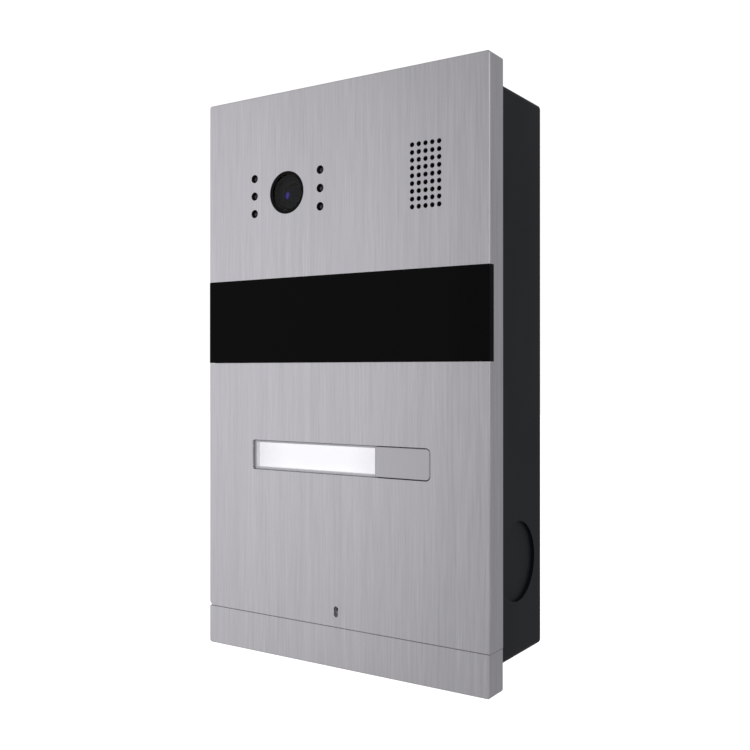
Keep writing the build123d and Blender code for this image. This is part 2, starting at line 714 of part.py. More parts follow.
def antenna_coil():
    """The reader's aerial: one flat rectangular spiral, wound inwards."""
    reader_x, reader_z = reader_aperture()
    half_x, half_z = reader_x - COIL_INSET_X, reader_z - COIL_INSET_Z
    d0 = BAND_THICK + TAPE_THICK
    d1 = d0 + COIL_THICK
    coil = None
    for turn in range(COIL_TURNS):
        x, z = half_x - turn * COIL_PITCH, half_z - turn * COIL_PITCH
        runs = [
            (-x, x, z - COIL_TRACE, z),
            (x - COIL_TRACE, x, -z, z),
            (-x, x, -z, -z + COIL_TRACE),
            (-x, -x + COIL_TRACE, -z, z - COIL_PITCH),
            (-x, -x + COIL_PITCH + COIL_TRACE, z - COIL_PITCH - COIL_TRACE, z - COIL_PITCH),
        ]
        for x0, x1, z0, z1 in runs:
            run = slab(x0, x1, d0, d1, BAND_MID + z0, BAND_MID + z1)
            coil = run if coil is None else coil + run
    return coil


def reader_board():
    """The small circuit board that carries the aerial, behind the band's opening."""
    reader_x, reader_z = reader_aperture()
    d0 = BAND_THICK + TAPE_THICK + COIL_THICK
    board = slab(
        -reader_x + READER_BOARD_GAP, reader_x - READER_BOARD_GAP, d0, d0 + READER_BOARD_THICK,
        BAND_MID - reader_z + READER_BOARD_GAP, BAND_MID + reader_z - READER_BOARD_GAP,
    )
    back = d0 + READER_BOARD_THICK
    wide, deep, tall = READER_CHIP
    board += slab(-wide / 2, wide / 2, back, back + deep, BAND_MID - tall / 2, BAND_MID + tall / 2)
    return board


# Camera -----------------------------------------------------------------------------------------

def camera_bezel():
    """The black ring around the camera, held from behind by its flange."""
    rim = BEZEL_R - BEZEL_RIM
    seat = rim + WINDOW_LAP
    wide = BEZEL_R + BEZEL_FLANGE
    flange = SKIN + FIT
    back = flange + BEZEL_FLANGE_THICK
    points = [
        (BEZEL_R, BEZEL_FRONT), (BEZEL_R, flange), (wide, flange), (wide, back),
        (seat, back), (seat, WINDOW_SEAT), (rim, WINDOW_SEAT), (rim, BEZEL_FRONT),
    ]
    return turned(points, CAMERA_X, CAMERA_Z)


def camera_window():
    """The flat glass in front of the lens."""
    return rod(CAMERA_X, CAMERA_Z, WINDOW_SEAT, WINDOW_BACK, WINDOW_R)


def camera_gasket():
    """The soft ring between the glass and the lens barrel."""
    return tube(CAMERA_X, CAMERA_Z, WINDOW_BACK, BARREL_FRONT, WINDOW_R - FIT, BARREL_R - BARREL_LIP)


def lens_barrel():
    """The lens barrel: a wide head with a tapered mouth, and a threaded body."""
    d0 = BARREL_FRONT
    back = d0 + BARREL_LENGTH
    front_r, rear_r, mouth_r = FRONT_LENS_R + FIT, REAR_LENS_R + FIT, REAR_LENS_R - LENS_RIM
    front_seat, rear_seat = d0 + FRONT_LENS[1], d0 + REAR_LENS[1]
    waist = d0 + BARREL_HEAD - SCREW_EASE
    points = [
        (BARREL_R, d0), (BARREL_R, d0 + BARREL_HEAD), (BARREL_THREAD_R, d0 + BARREL_HEAD),
        (BARREL_THREAD_R, back), (mouth_r, back), (mouth_r, rear_seat), (rear_r, rear_seat),
        (rear_r, waist), (FRONT_LENS_R - 2 * LENS_RIM, front_seat), (front_r, front_seat),
        (front_r, d0 + 2 * FRONT_LENS[0]), (BARREL_R - BARREL_LIP, d0),
    ]
    return turned(points, CAMERA_X, CAMERA_Z)


def front_lens():
    """The domed front glass of the lens."""
    front, back = (BARREL_FRONT + d for d in FRONT_LENS)
    return lens(CAMERA_X, CAMERA_Z, FRONT_LENS_R, front, back, FRONT_LENS_BULGE)


def rear_lens():
    """The smaller coated glass deep in the barrel."""
    front, back = (BARREL_FRONT + d for d in REAR_LENS)
    return lens(CAMERA_X, CAMERA_Z, REAR_LENS_R, front, back, REAR_LENS_BULGE)


def lens_mount():
    """The threaded holder between the barrel and the camera board."""
    half, base = MOUNT_FOOT[0] / 2, CAMERA_BOARD_DEPTH - MOUNT_FOOT[1]
    front, back = CAMERA_BOARD_DEPTH - MOUNT_HEIGHT, CAMERA_BOARD_DEPTH
    body = rod(CAMERA_X, CAMERA_Z, front, back, BARREL_THREAD_R + MOUNT_WALL)
    body += rounded_slab(
        CAMERA_X - half, CAMERA_X + half, base, back, CAMERA_Z - half, CAMERA_Z + half, MOUNT_WALL
    )
    return body - rod(CAMERA_X, CAMERA_Z, 0, back + PAST, BARREL_THREAD_R + FIT)


def camera_screw_places():
    """The four corners where the camera board is screwed to its bracket."""
    reach = CAMERA_BOARD / 2 - CAMERA_SCREW_INSET
    return [(CAMERA_X + i * reach, CAMERA_Z + j * reach) for i in (-1, 1) for j in (-1, 1)]


def camera_board():
    """The camera's square circuit board."""
    half = CAMERA_BOARD / 2
    board = rounded_slab(
        CAMERA_X - half, CAMERA_X + half, CAMERA_BOARD_DEPTH, CAMERA_BOARD_DEPTH + BOARD_THICK,
        CAMERA_Z - half, CAMERA_Z + half, PLATE_CORNER,
    )
    for x, z in camera_screw_places():
        board -= rod(x, z, 0, COVER_DEPTH, CAMERA_SCREW_R + FIT)
    return board


def image_sensor():
    """The sensor package under the lens."""
    wide, deep, tall = SENSOR
    return slab(
        CAMERA_X - wide / 2, CAMERA_X + wide / 2, CAMERA_BOARD_DEPTH - deep, CAMERA_BOARD_DEPTH,
        CAMERA_Z - tall / 2, CAMERA_Z + tall / 2,
    )


def camera_bracket():
    """The moulded bracket that carries the camera board and the light board behind the skin."""
    front = CAMERA_BOARD_DEPTH + BOARD_THICK
    back = front + BRACKET_THICK
    tall, hole = CAMERA_BOARD / 2, BRACKET_WINDOW / 2
    outer = IR_BOARD_HALF_X + BRACKET_SIDE
    bracket = slab(CAMERA_X - outer, CAMERA_X + outer, front, back, CAMERA_Z - tall, CAMERA_Z + tall)
    bracket -= slab(CAMERA_X - hole, CAMERA_X + hole, 0, COVER_DEPTH, CAMERA_Z - hole, CAMERA_Z + hole)
    for side in (-1, 1):
        leg = sorted((CAMERA_X + side * IR_BOARD_HALF_X, CAMERA_X + side * outer))
        half = BRACKET_LEG / 2
        bracket += slab(*leg, SKIN + FIT, back, CAMERA_Z - half, CAMERA_Z + half)
    for x, z in camera_screw_places():
        bracket -= rod(x, z, 0, COVER_DEPTH, CAMERA_SCREW_R + FIT)
    return bracket


def camera_screws():
    """The four small screws of the camera board."""
    return [
        screw(x, z, CAMERA_BOARD_DEPTH, 1.0, 1.7, CAMERA_SCREW_R, 2.8, toward_front=False)
        for x, z in camera_screw_places()
    ]


def ir_leds():
    """Six infrared lights, each a domed body with a flange and two legs."""
    pieces = []
    shoulder = LED_TIP + LED_R
    wider, flange_thick = LED_FLANGE
    for x, z in ir_places():
        led = rod(x, z, shoulder, LED_FLANGE_DEPTH, LED_R)
        led += Pos(x, FRONT_Y + shoulder, z) * Sphere(LED_R)
        led += rod(x, z, LED_FLANGE_DEPTH, LED_FLANGE_DEPTH + flange_thick, LED_R + wider)
        for leg_x in (x - LED_LEG_X, x + LED_LEG_X):
            half = LED_LEG / 2
            led += slab(leg_x - half, leg_x + half, LED_FLANGE_DEPTH, IR_BOARD_DEPTH, z - half, z + half)
        pieces.append(led)
    return pieces


def ir_board():
    """The light board around the lens, held between the bracket's legs."""
    board = slab(
        CAMERA_X - IR_BOARD_HALF_X, CAMERA_X + IR_BOARD_HALF_X,
        IR_BOARD_DEPTH, IR_BOARD_DEPTH + IR_BOARD_THICK,
        CAMERA_Z - IR_BOARD_HALF_Z, CAMERA_Z + IR_BOARD_HALF_Z,
    )
    return board - rod(CAMERA_X, CAMERA_Z, 0, COVER_DEPTH, BARREL_THREAD_R + IR_BOARD_BORE_GAP)


# Speaker and microphone -------------------------------------------------------------------------

def speaker_mesh():
    """The fine black mesh behind the speaker's holes."""
    return rod(SPEAKER_X, SPEAKER_Z, SKIN, SKIN + MESH_THICK, SPEAKER_R - MESH_THICK)


def speaker_gasket():
    """The foam ring between the mesh and the speaker."""
    inner = SPEAKER_R - SPEAKER_SEAL
    return tube(SPEAKER_X, SPEAKER_Z, SKIN + MESH_THICK, BASKET_FRONT, SPEAKER_R, inner)


def speaker_basket():
    """The pressed steel frame of the speaker."""
    d0 = BASKET_FRONT
    back, floor = MAGNET_FRONT, MAGNET_FRONT - BASKET_SHEET
    inner = SPEAKER_R - BASKET_RIM
    points = [
        (SPEAKER_R, d0), (SPEAKER_R, d0 + BASKET_SHEET), (inner + BASKET_SHEET, d0 + BASKET_SHEET),
        (MAGNET_R + BASKET_SHEET, floor), (MAGNET_R + BASKET_SHEET, back), (BASKET_BORE, back),
        (BASKET_BORE, floor), (MAGNET_R, floor), (inner, d0 + BASKET_SHEET / 2), (inner, d0),
    ]
    return turned(points, SPEAKER_X, SPEAKER_Z)


def speaker_cone():
    """The thin moving diaphragm, with its dome."""
    edge = SPEAKER_R - BASKET_RIM - 2 * FIT
    front, low = BASKET_FRONT, BASKET_FRONT + CONE_DEEP
    inner = edge - CONE_SLOPE
    points = [
        (edge, front), (edge, front + CONE_THICK), (inner, low), (DOME_R, low), (0, low - DOME_RISE),
        (0, low - DOME_RISE - CONE_THICK), (DOME_R, low - CONE_THICK), (inner, low - CONE_THICK),
        (edge - CONE_THICK, front),
    ]
    return turned(points, SPEAKER_X, SPEAKER_Z)


def speaker_magnet():
    """The magnet and its steel cup on the back of the basket."""
    magnet = rod(SPEAKER_X, SPEAKER_Z, MAGNET_FRONT, MAGNET_BACK, MAGNET_R)
    return chamfer(magnet.faces().sort_by(Axis.Y)[-1].edges(), MAGNET_EDGE)


def speaker_clamp():
    """The bar that presses the speaker onto its seal, with two feet on the skin."""
    x0, x1 = SPEAKER_X - CLAMP_HALF_W, SPEAKER_X + CLAMP_HALF_W
    front, back = SKIN + FIT, MAGNET_BACK + CLAMP_STRIP
    inner = SPEAKER_R + CLAMP_GAP
    outer = inner + CLAMP_STRIP
    clamp = slab(x0, x1, MAGNET_BACK, back, SPEAKER_Z - outer, SPEAKER_Z + outer)
    for way in (-1, 1):
        leg = sorted((SPEAKER_Z + way * inner, SPEAKER_Z + way * outer))
        clamp += slab(x0, x1, front, back, *leg)
        foot = sorted((SPEAKER_Z + way * inner, SPEAKER_Z + way * (outer + CLAMP_FOOT)))
        clamp += slab(x0, x1, front, front + CLAMP_STRIP, *foot)
    return clamp


def microphone():
    """The microphone capsule."""
    front = SKIN + BOOT_FRONT
    start, end, deep = MIC_GROOVE
    body = rod(0, MIC_Z, front, front + MIC_LENGTH, MIC_R)
    return body - tube(0, MIC_Z, front + start, front + end, MIC_R + PAST, MIC_R - deep)


def microphone_boot():
    """The rubber boot that seals the microphone to the back of the faceplate."""
    boot = rod(0, MIC_Z, SKIN, SKIN + BOOT_LENGTH, BOOT_R)
    boot -= rod(0, MIC_Z, SKIN + BOOT_FRONT, SKIN + BOOT_LENGTH + PAST, MIC_R + PRESS_FIT)
    return boot - rod(0, MIC_Z + MIC_HOLE_UP, SKIN - PAST, SKIN + BOOT_FRONT + PAST, MIC_HOLE_R)


# Name window and call button --------------------------------------------------------------------

def name_window():
    """The clear cover of the name card, with its small left corners."""
    pane = prism(bar_outline(BAR_GAP, NAME_LEFT, NAME_RIGHT), COVER_SET_BACK, NAME_BACK)
    edges = pane.edges().filter_by(Axis.Y).sort_by(Axis.X)
    return fillet(edges[:2], BAR_CORNER_LEFT - BAR_GAP)


def tray_filling(d0, d1):
    """A block that fills the name tray's inside from one depth to another, with a small clearance."""
    left, right = NAME_LEFT + NAME_WALL + FIT, NAME_RIGHT - NAME_WALL - FIT
    return slab(left, right, d0, d1, BAR_Z - TRAY_HALF + FIT, BAR_Z + TRAY_HALF - FIT)


def name_card():
    """The blank white card."""
    return tray_filling(CARD_DEPTH, CARD_DEPTH + CARD_THICK)


def light_guide():
    """The milky bar that spreads the light behind the card."""
    return tray_filling(CARD_DEPTH + CARD_THICK, CARD_DEPTH + CARD_THICK + GUIDE_THICK)


def name_housing():
    """The white moulding behind the bar: a light tray, the button's well and a flange."""
    tray = slab(NAME_LEFT, NAME_RIGHT, NAME_BACK, SWITCH_BOARD_DEPTH, BAR_Z - BAR_HALF, BAR_Z + BAR_HALF)
    edges = tray.edges().filter_by(Axis.Y).sort_by(Axis.X)
    tray = fillet(edges[:2], BAR_CORNER_LEFT - BAR_GAP)
    reach = GASKET_HALF_W + 2 * HOUSING_SCREW_OUT
    flange = slab(
        -reach, reach, FLANGE_DEPTH, FLANGE_DEPTH + FLANGE_THICK, BAR_Z - FLANGE_HALF, BAR_Z + FLANGE_HALF
    )
    well_half = WELL_HALF + WELL_WALL
    well = slab(
        NAME_RIGHT - NAME_WALL, WELL_RIGHT + WELL_WALL, FLANGE_DEPTH, SWITCH_BOARD_DEPTH,
        BAR_Z - well_half, BAR_Z + well_half,
    )
    body = tray + flange + well
    deep = SWITCH_BOARD_DEPTH + PAST
    left, right = NAME_LEFT + NAME_WALL, NAME_RIGHT - NAME_WALL
    body -= slab(left, right, 0, deep, BAR_Z - TRAY_HALF, BAR_Z + TRAY_HALF)
    body -= slab(NAME_RIGHT, WELL_RIGHT, 0, deep, BAR_Z - WELL_HALF, BAR_Z + WELL_HALF)
    for x, z in housing_screw_places():
        body -= rod(x, z, 0, PLATE_DEPTH, HOUSING_SCREW_R + SCREW_EASE / 2)
    return body


def housing_screws():
    """The two screws of the name housing."""
    return [
        screw(x, z, FLANGE_DEPTH + FLANGE_THICK, 1.4, 1.9, HOUSING_SCREW_R, 4.2)
        for x, z in housing_screw_places()
    ]


def bar_gasket():
    """The flat seal between the skin and the name housing's flange."""
    seal = slab(
        -GASKET_HALF_W, GASKET_HALF_W, SKIN, FLANGE_DEPTH, BAR_Z - FLANGE_HALF, BAR_Z + FLANGE_HALF
    )
    tray_half = BAR_HALF + FIT
    seal -= slab(
        NAME_LEFT - FIT, NAME_RIGHT + FIT, 0, PLATE_DEPTH, BAR_Z - tray_half, BAR_Z + tray_half
    )
    return seal - slab(NAME_RIGHT, WELL_RIGHT, 0, PLATE_DEPTH, BAR_Z - WELL_HALF, BAR_Z + WELL_HALF)


def backlight_leds():
    """The four small white lights behind the name card."""
    wide, deep, tall = BACKLIGHT
    pitch = (NAME_RIGHT - NAME_LEFT) / BACKLIGHT_COUNT
    return [
        slab(
            x - wide / 2, x + wide / 2, SWITCH_BOARD_DEPTH - deep, SWITCH_BOARD_DEPTH,
            BAR_Z - tall / 2, BAR_Z + tall / 2,
        )
        for x in (NAME_LEFT + pitch * (i + 0.5) for i in range(BACKLIGHT_COUNT))
    ]


def switch_board():
    """The circuit board behind the bar, with the lights and the switch."""
    half = WELL_HALF + WELL_WALL
    return slab(
        NAME_LEFT - SWITCH_BOARD_MARGIN, WELL_RIGHT + SWITCH_BOARD_MARGIN,
        SWITCH_BOARD_DEPTH, SWITCH_BOARD_DEPTH + SWITCH_BOARD_THICK, BAR_Z - half, BAR_Z + half,
    )


def switch_body():
    """The push switch's body, with the bore its plunger runs in."""
    half = SWITCH_BODY / 2
    body = slab(
        BUTTON_X - half, BUTTON_X + half, SWITCH_FRONT, SWITCH_BOARD_DEPTH, BAR_Z - half, BAR_Z + half
    )
    bore_r = PLUNGER_R + PLUNGER_GAP
    return body - rod(BUTTON_X, BAR_Z, 0, SWITCH_BOARD_DEPTH - SWITCH_FLOOR, bore_r)


def switch_plunger():
    """The push switch's plunger, which moves with the button."""
    end = SWITCH_BOARD_DEPTH - SWITCH_FLOOR - BUTTON_TRAVEL - PLUNGER_END_GAP
    return rod(BUTTON_X, BAR_Z, PLUNGER_TIP, end, PLUNGER_R)


def call_button():
    """The metal cap that the caller presses, level with the faceplate."""
    cap = prism(bar_outline(BAR_GAP, BUTTON_LEFT, BUTTON_RIGHT), 0, BUTTON_CAP)
    edges = cap.edges().filter_by(Axis.Y).sort_by(Axis.X)
    cap = fillet(edges[-2:], BAR_CORNER_RIGHT - BAR_GAP)
    return chamfer(cap.faces().sort_by(Axis.Y)[0].edges(), BUTTON_EDGE)


def spring_places():
    """The two return springs, either side of the switch."""
    return [BUTTON_X - SPRING_FROM_CENTRE, BUTTON_X + SPRING_FROM_CENTRE]


def button_carrier():
    """The moulding under the cap: a lip that keeps the button in, a nub and two spring posts."""
    carrier = slab(
        BUTTON_LEFT + CARRIER_INSET, BUTTON_RIGHT - CARRIER_INSET, BUTTON_CAP, LIP_DEPTH,
        BAR_Z - BAR_HALF + CARRIER_INSET, BAR_Z + BAR_HALF - CARRIER_INSET,
    )
    carrier += slab(
        BUTTON_LEFT + CARRIER_INSET, BUTTON_RIGHT + LIP_REACH, LIP_DEPTH, LIP_BACK,
        BAR_Z - BAR_HALF - LIP_REACH, BAR_Z + BAR_HALF + LIP_REACH,
    )
    carrier += rod(BUTTON_X, BAR_Z, LIP_BACK, PLUNGER_TIP, NUB_R)
    post_r = SPRING_R - SPRING_WIRE_R - POST_UNDER_SPRING
    for x in spring_places():
        carrier += rod(x, BAR_Z, LIP_BACK, LIP_BACK + SPRING_POST, post_r)
    return carrier


def button_springs():
    """Two coil springs that push the button back out."""
    length = SWITCH_BOARD_DEPTH - LIP_BACK - 2 * (SPRING_WIRE_R + PRESS_FIT)
    pitch = length / SPRING_TURNS
    pieces = []
    for x in spring_places():
        path = Helix(pitch=pitch, height=length, radius=SPRING_R)
        start = Plane(origin=path @ 0, z_dir=path % 0)
        coil = sweep(start * Circle(SPRING_WIRE_R), path=path, is_frenet=True)
        front = FRONT_Y + LIP_BACK + SPRING_WIRE_R + PRESS_FIT
        pieces.append(Pos(x, front, BAR_Z) * Rot(-90, 0, 0) * coil)
    return pieces


# Main electronics and rear cover ----------------------------------------------------------------

def rear_cover():
    """The black pan that closes the back of the panel, with posts for the board and the studs."""
    cover = rounded_slab(
        -COVER_HALF_W, COVER_HALF_W, SKIN + FIT, COVER_DEPTH, COVER_BOTTOM, COVER_TOP, COVER_CORNER
    )
    cover = chamfer(cover.faces().sort_by(Axis.Y)[-1].edges(), COVER_EDGE)
    inner_w, floor = COVER_HALF_W - COVER_WALL, COVER_DEPTH - COVER_WALL
    inner_low, inner_high = COVER_BOTTOM + COVER_WALL, COVER_TOP - COVER_WALL
    cover -= rounded_slab(
        -inner_w, inner_w, 0, floor, inner_low, inner_high, COVER_CORNER - COVER_WALL
    )
    half_wall = COVER_WALL / 2
    within = slab(
        -inner_w - half_wall, inner_w + half_wall, 0, floor + half_wall,
        inner_low - half_wall, inner_high + half_wall,
    )
    for x, z in STUDS:
        cover += rod(x, z, STUD_DEPTH, COVER_DEPTH, COVER_HEAD_R + PILLAR_WALL) & within
        cover -= rod(x, z, 0, COVER_DEPTH + PAST, COVER_SCREW_R + SCREW_EASE)
        seat = STUD_DEPTH + COVER_SCREW_SEAT
        cover -= rod(x, z, seat, COVER_DEPTH + PAST, COVER_HEAD_R + SCREW_EASE)
    for x, z in POSTS:
        cover += rod(x, z, BOARD_BACK, floor + half_wall, POST_R)
        cover -= rod(x, z, BOARD_BACK - PAST, floor - PAST, POST_BORE_R)
    half = TERMINAL_WIDTH / 2 + TERMINAL_EASE
    deep = TERMINAL_DEEP / 2 + TERMINAL_EASE
    return cover - slab(
        -half, half, floor - PAST, COVER_DEPTH + PAST, TERMINAL_Z - deep, TERMINAL_Z + deep
    )


def cover_screws():
    """The four screws that hold the rear cover to the faceplate's studs."""
    seat = STUD_DEPTH + COVER_SCREW_SEAT
    return [
        screw(x, z, seat, COVER_SCREW_HEAD, COVER_HEAD_R, COVER_SCREW_R, COVER_SCREW_LENGTH)
        for x, z in STUDS
    ]


def main_board():
    """The main circuit board."""
    board = rounded_slab(
        -BOARD_HALF_W, BOARD_HALF_W, MAIN_BOARD_DEPTH, BOARD_BACK, BOARD_BOTTOM, BOARD_TOP,
        MAIN_BOARD_CORNER,
    )
    for x, z in POSTS:
        board -= rod(x, z, 0, COVER_DEPTH, BOARD_SCREW_R + SCREW_EASE)
    return board


def board_screws():
    """The four screws of the main board."""
    return [
        screw(x, z, MAIN_BOARD_DEPTH, 1.5, 2.4, BOARD_SCREW_R, 6.5, toward_front=False) for x, z in POSTS
    ]


def chips():
    """The processor, the sound chip and the memory on the back of the main board."""
    pieces = []
    for x, up, half, tall in CHIP_LAYOUT:
        z = BOARD_MID + up
        pieces.append(slab(x - half, x + half, BOARD_BACK, BOARD_BACK + tall, z - half, z + half))
    return pieces


def capacitors():
    """Four round capacitors on the back of the main board."""
    pieces = []
    for side, up, r in CAPACITOR_LAYOUT:
        x = side * (BOARD_HALF_W - CAPACITOR_INSET)
        can = rod(x, BOARD_MID + up, BOARD_BACK, BOARD_BACK + CAPACITOR_HEIGHT, r)
        pieces.append(chamfer(can.faces().sort_by(Axis.Y)[-1].edges(), PART_EDGE))
    return pieces


def relay():
    """The door lock relay."""
    wide, deep, tall = RELAY
    right, top = BOARD_HALF_W - RELAY_INSET, BOARD_MID - RELAY_BELOW_MID
    body = slab(right - wide, right, BOARD_BACK, BOARD_BACK + deep, top - tall, top)
    return chamfer(body.faces().sort_by(Axis.Y)[-1].edges(), PART_EDGE)


def terminal_places():
    """The middle of each way of the terminal block."""
    return [(i - (TERMINAL_WAYS - 1) / 2) * TERMINAL_PITCH for i in range(TERMINAL_WAYS)]


def terminal_block():
    """The green terminal block, with a screw well and a wire mouth for each way."""
    half = TERMINAL_WIDTH / 2
    back = BOARD_BACK + TERMINAL_HEIGHT
    deep = TERMINAL_DEEP / 2
    block = slab(-half, half, BOARD_BACK, back, TERMINAL_Z - deep, TERMINAL_Z + deep)
    mouth, mouth_back, mouth_front = TERMINAL_MOUTH
    well_z = TERMINAL_Z + TERMINAL_WELL_UP
    for x in terminal_places():
        block -= rod(x, well_z, back - TERMINAL_WELL, back + PAST, TERMINAL_WELL_R)
        block -= slab(
            x - mouth / 2, x + mouth / 2, back - mouth_front, back - mouth_back,
            TERMINAL_Z - deep - PAST, TERMINAL_Z + PAST,
        )
    return block


def terminal_screws():
    """The clamping screws in the terminal block."""
    back = BOARD_BACK + TERMINAL_HEIGHT
    head = back - TERMINAL_SCREW_SUNK
    well_z = TERMINAL_Z + TERMINAL_WELL_UP
    slot, slot_deep = TERMINAL_SLOT
    return [
        rod(x, well_z, back - TERMINAL_WELL, head, TERMINAL_SCREW_R) - slab(
            x - TERMINAL_WELL_R, x + TERMINAL_WELL_R, head - slot_deep, back,
            well_z - slot / 2, well_z + slot / 2,
        )
        for x in terminal_places()
    ]


def lead_sockets():
    """The small sockets on the front of the main board for the speaker and the microphone."""
    wide, deep, tall = SOCKET
    return [
        slab(
            x - wide / 2, x + wide / 2, MAIN_BOARD_DEPTH - deep, MAIN_BOARD_DEPTH, z - tall / 2, z + tall / 2
        )
        for x, z in socket_places()
    ]


def socket_places():
    """The speaker's socket, then the microphone's."""
    return [(SPEAKER_X - 12, SPEAKER_Z - 26), (8, BOARD_BOTTOM + 8)]


def speaker_leads():
    """The pair of leads from the speaker's magnet to its socket."""
    x_end, z_end = socket_places()[0]
    start_d = MAGNET_FRONT - SCREW_EASE
    socket_mid, socket_top = MAIN_BOARD_DEPTH - SOCKET[1] / 2, z_end + SOCKET[2] / 2
    pieces = []
    for shift in (-1.0, 1.0):
        x = SPEAKER_X - 6 + shift
        points = [
            (x, start_d, SPEAKER_Z - MAGNET_R - 1.0),
            (x, start_d, z_end + 9),
            (x_end + shift, start_d + 2, z_end + 5),
            (x_end + shift, socket_mid, z_end + 5),
            (x_end + shift, socket_mid, socket_top),
        ]
        pieces.append(wire(points, WIRE_R))
    return pieces


def microphone_leads():
    """The pair of leads from the microphone to its socket."""
    x_end, z_end = socket_places()[1]
    socket_mid, socket_low = MAIN_BOARD_DEPTH - SOCKET[1] / 2, z_end - SOCKET[2] / 2
    mic_back = SKIN + BOOT_FRONT + MIC_LENGTH
    pieces = []
    for shift in (-0.8, 0.8):
        points = [
            (shift, mic_back, MIC_Z),
            (shift, 12.0, MIC_Z),
            (x_end + shift, 17.0, z_end - 6),
            (x_end + shift, socket_mid, z_end - 6),
            (x_end + shift, socket_mid, socket_low),
        ]
        pieces.append(wire(points, WIRE_R))
    return pieces


PIECES = [
    back_box, box_inserts, faceplate, bottom_trim, trim_clips, perimeter_gasket, fixing_screws,
    retaining_clips, reader_window, reader_tape, antenna_coil, reader_board, camera_bezel,
    camera_window, camera_gasket, lens_barrel, front_lens, rear_lens, lens_mount, camera_board,
    image_sensor, camera_bracket, camera_screws, ir_leds, ir_board, speaker_mesh, speaker_gasket,
    speaker_basket, speaker_cone, speaker_magnet, speaker_clamp, microphone, microphone_boot,
    name_window, name_card, light_guide, name_housing, housing_screws, bar_gasket, backlight_leds,
    switch_board, switch_body, switch_plunger, call_button, button_carrier, button_springs,
    rear_cover, cover_screws, main_board, board_screws, chips, capacitors, relay, terminal_block,
    terminal_screws, lead_sockets, speaker_leads, microphone_leads,
]

os.makedirs("parts", exist_ok=True)
for piece in PIECES:
    made = piece()
    solids = made if isinstance(made, list) else [made]
    shape = Compound(children=solids) if len(solids) > 1 else solids[0]
    export_step(shape, os.path.join("parts", piece.__name__ + ".step"))
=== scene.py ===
import json
import math
import random

import bmesh
import bpy
from mathutils import Matrix, Vector


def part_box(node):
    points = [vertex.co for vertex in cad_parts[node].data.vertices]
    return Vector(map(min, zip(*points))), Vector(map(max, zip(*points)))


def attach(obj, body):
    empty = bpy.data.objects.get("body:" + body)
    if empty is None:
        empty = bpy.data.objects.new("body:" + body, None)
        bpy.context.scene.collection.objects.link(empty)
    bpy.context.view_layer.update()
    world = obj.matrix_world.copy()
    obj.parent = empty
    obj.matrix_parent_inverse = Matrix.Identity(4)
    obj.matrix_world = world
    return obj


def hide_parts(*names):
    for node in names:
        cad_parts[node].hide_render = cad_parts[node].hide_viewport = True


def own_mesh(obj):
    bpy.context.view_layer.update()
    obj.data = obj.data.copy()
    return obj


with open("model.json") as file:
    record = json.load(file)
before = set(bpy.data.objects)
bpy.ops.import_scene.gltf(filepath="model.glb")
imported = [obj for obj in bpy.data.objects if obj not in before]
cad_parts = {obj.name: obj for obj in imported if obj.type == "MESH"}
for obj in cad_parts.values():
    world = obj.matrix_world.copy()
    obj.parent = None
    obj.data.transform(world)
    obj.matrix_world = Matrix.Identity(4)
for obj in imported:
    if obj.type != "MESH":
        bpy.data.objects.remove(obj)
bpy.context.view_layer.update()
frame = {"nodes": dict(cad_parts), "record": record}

# Looks for the door intercom panel. Metres, in the frame's own axes: +Z up, front faces -Y.

MM = 0.001
NODES = frame["nodes"]
FRONT_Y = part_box("faceplate")[0].y


# Shader nodes ---------------------------------------------

class Tree:
    """Short ways to add nodes to a node tree."""

    def __init__(self, tree):
        self.tree = tree

    def node(self, kind, **settings):
        made = self.tree.nodes.new(kind)
        for key, value in settings.items():
            setattr(made, key, value)
        return made

    def link(self, source, target):
        self.tree.links.new(source, target)

    def feed(self, target, value):
        """A socket takes either a link or a plain value."""
        if isinstance(value, bpy.types.NodeSocket):
            self.link(value, target)
        else:
            target.default_value = value

    def span(self, value, low, high, start=0.3, end=0.7):
        """Takes a value from the range start..end, where most noise lies, to the range low..high."""
        change = self.node("ShaderNodeMapRange")
        self.feed(change.inputs["Value"], value)
        for key, number in (("From Min", start), ("From Max", end), ("To Min", low), ("To Max", high)):
            change.inputs[key].default_value = number
        return change.outputs["Result"]

    def math(self, operation, a, b=0.0):
        made = self.node("ShaderNodeMath", operation=operation)
        self.feed(made.inputs[0], a)
        self.feed(made.inputs[1], b)
        return made.outputs["Value"]

    def blend(self, amount, a, b):
        """Mixes two shaders."""
        both = self.node("ShaderNodeMixShader")
        for target, source in zip(both.inputs, (amount, a, b)):
            self.link(source, target)
        return both.outputs["Shader"]


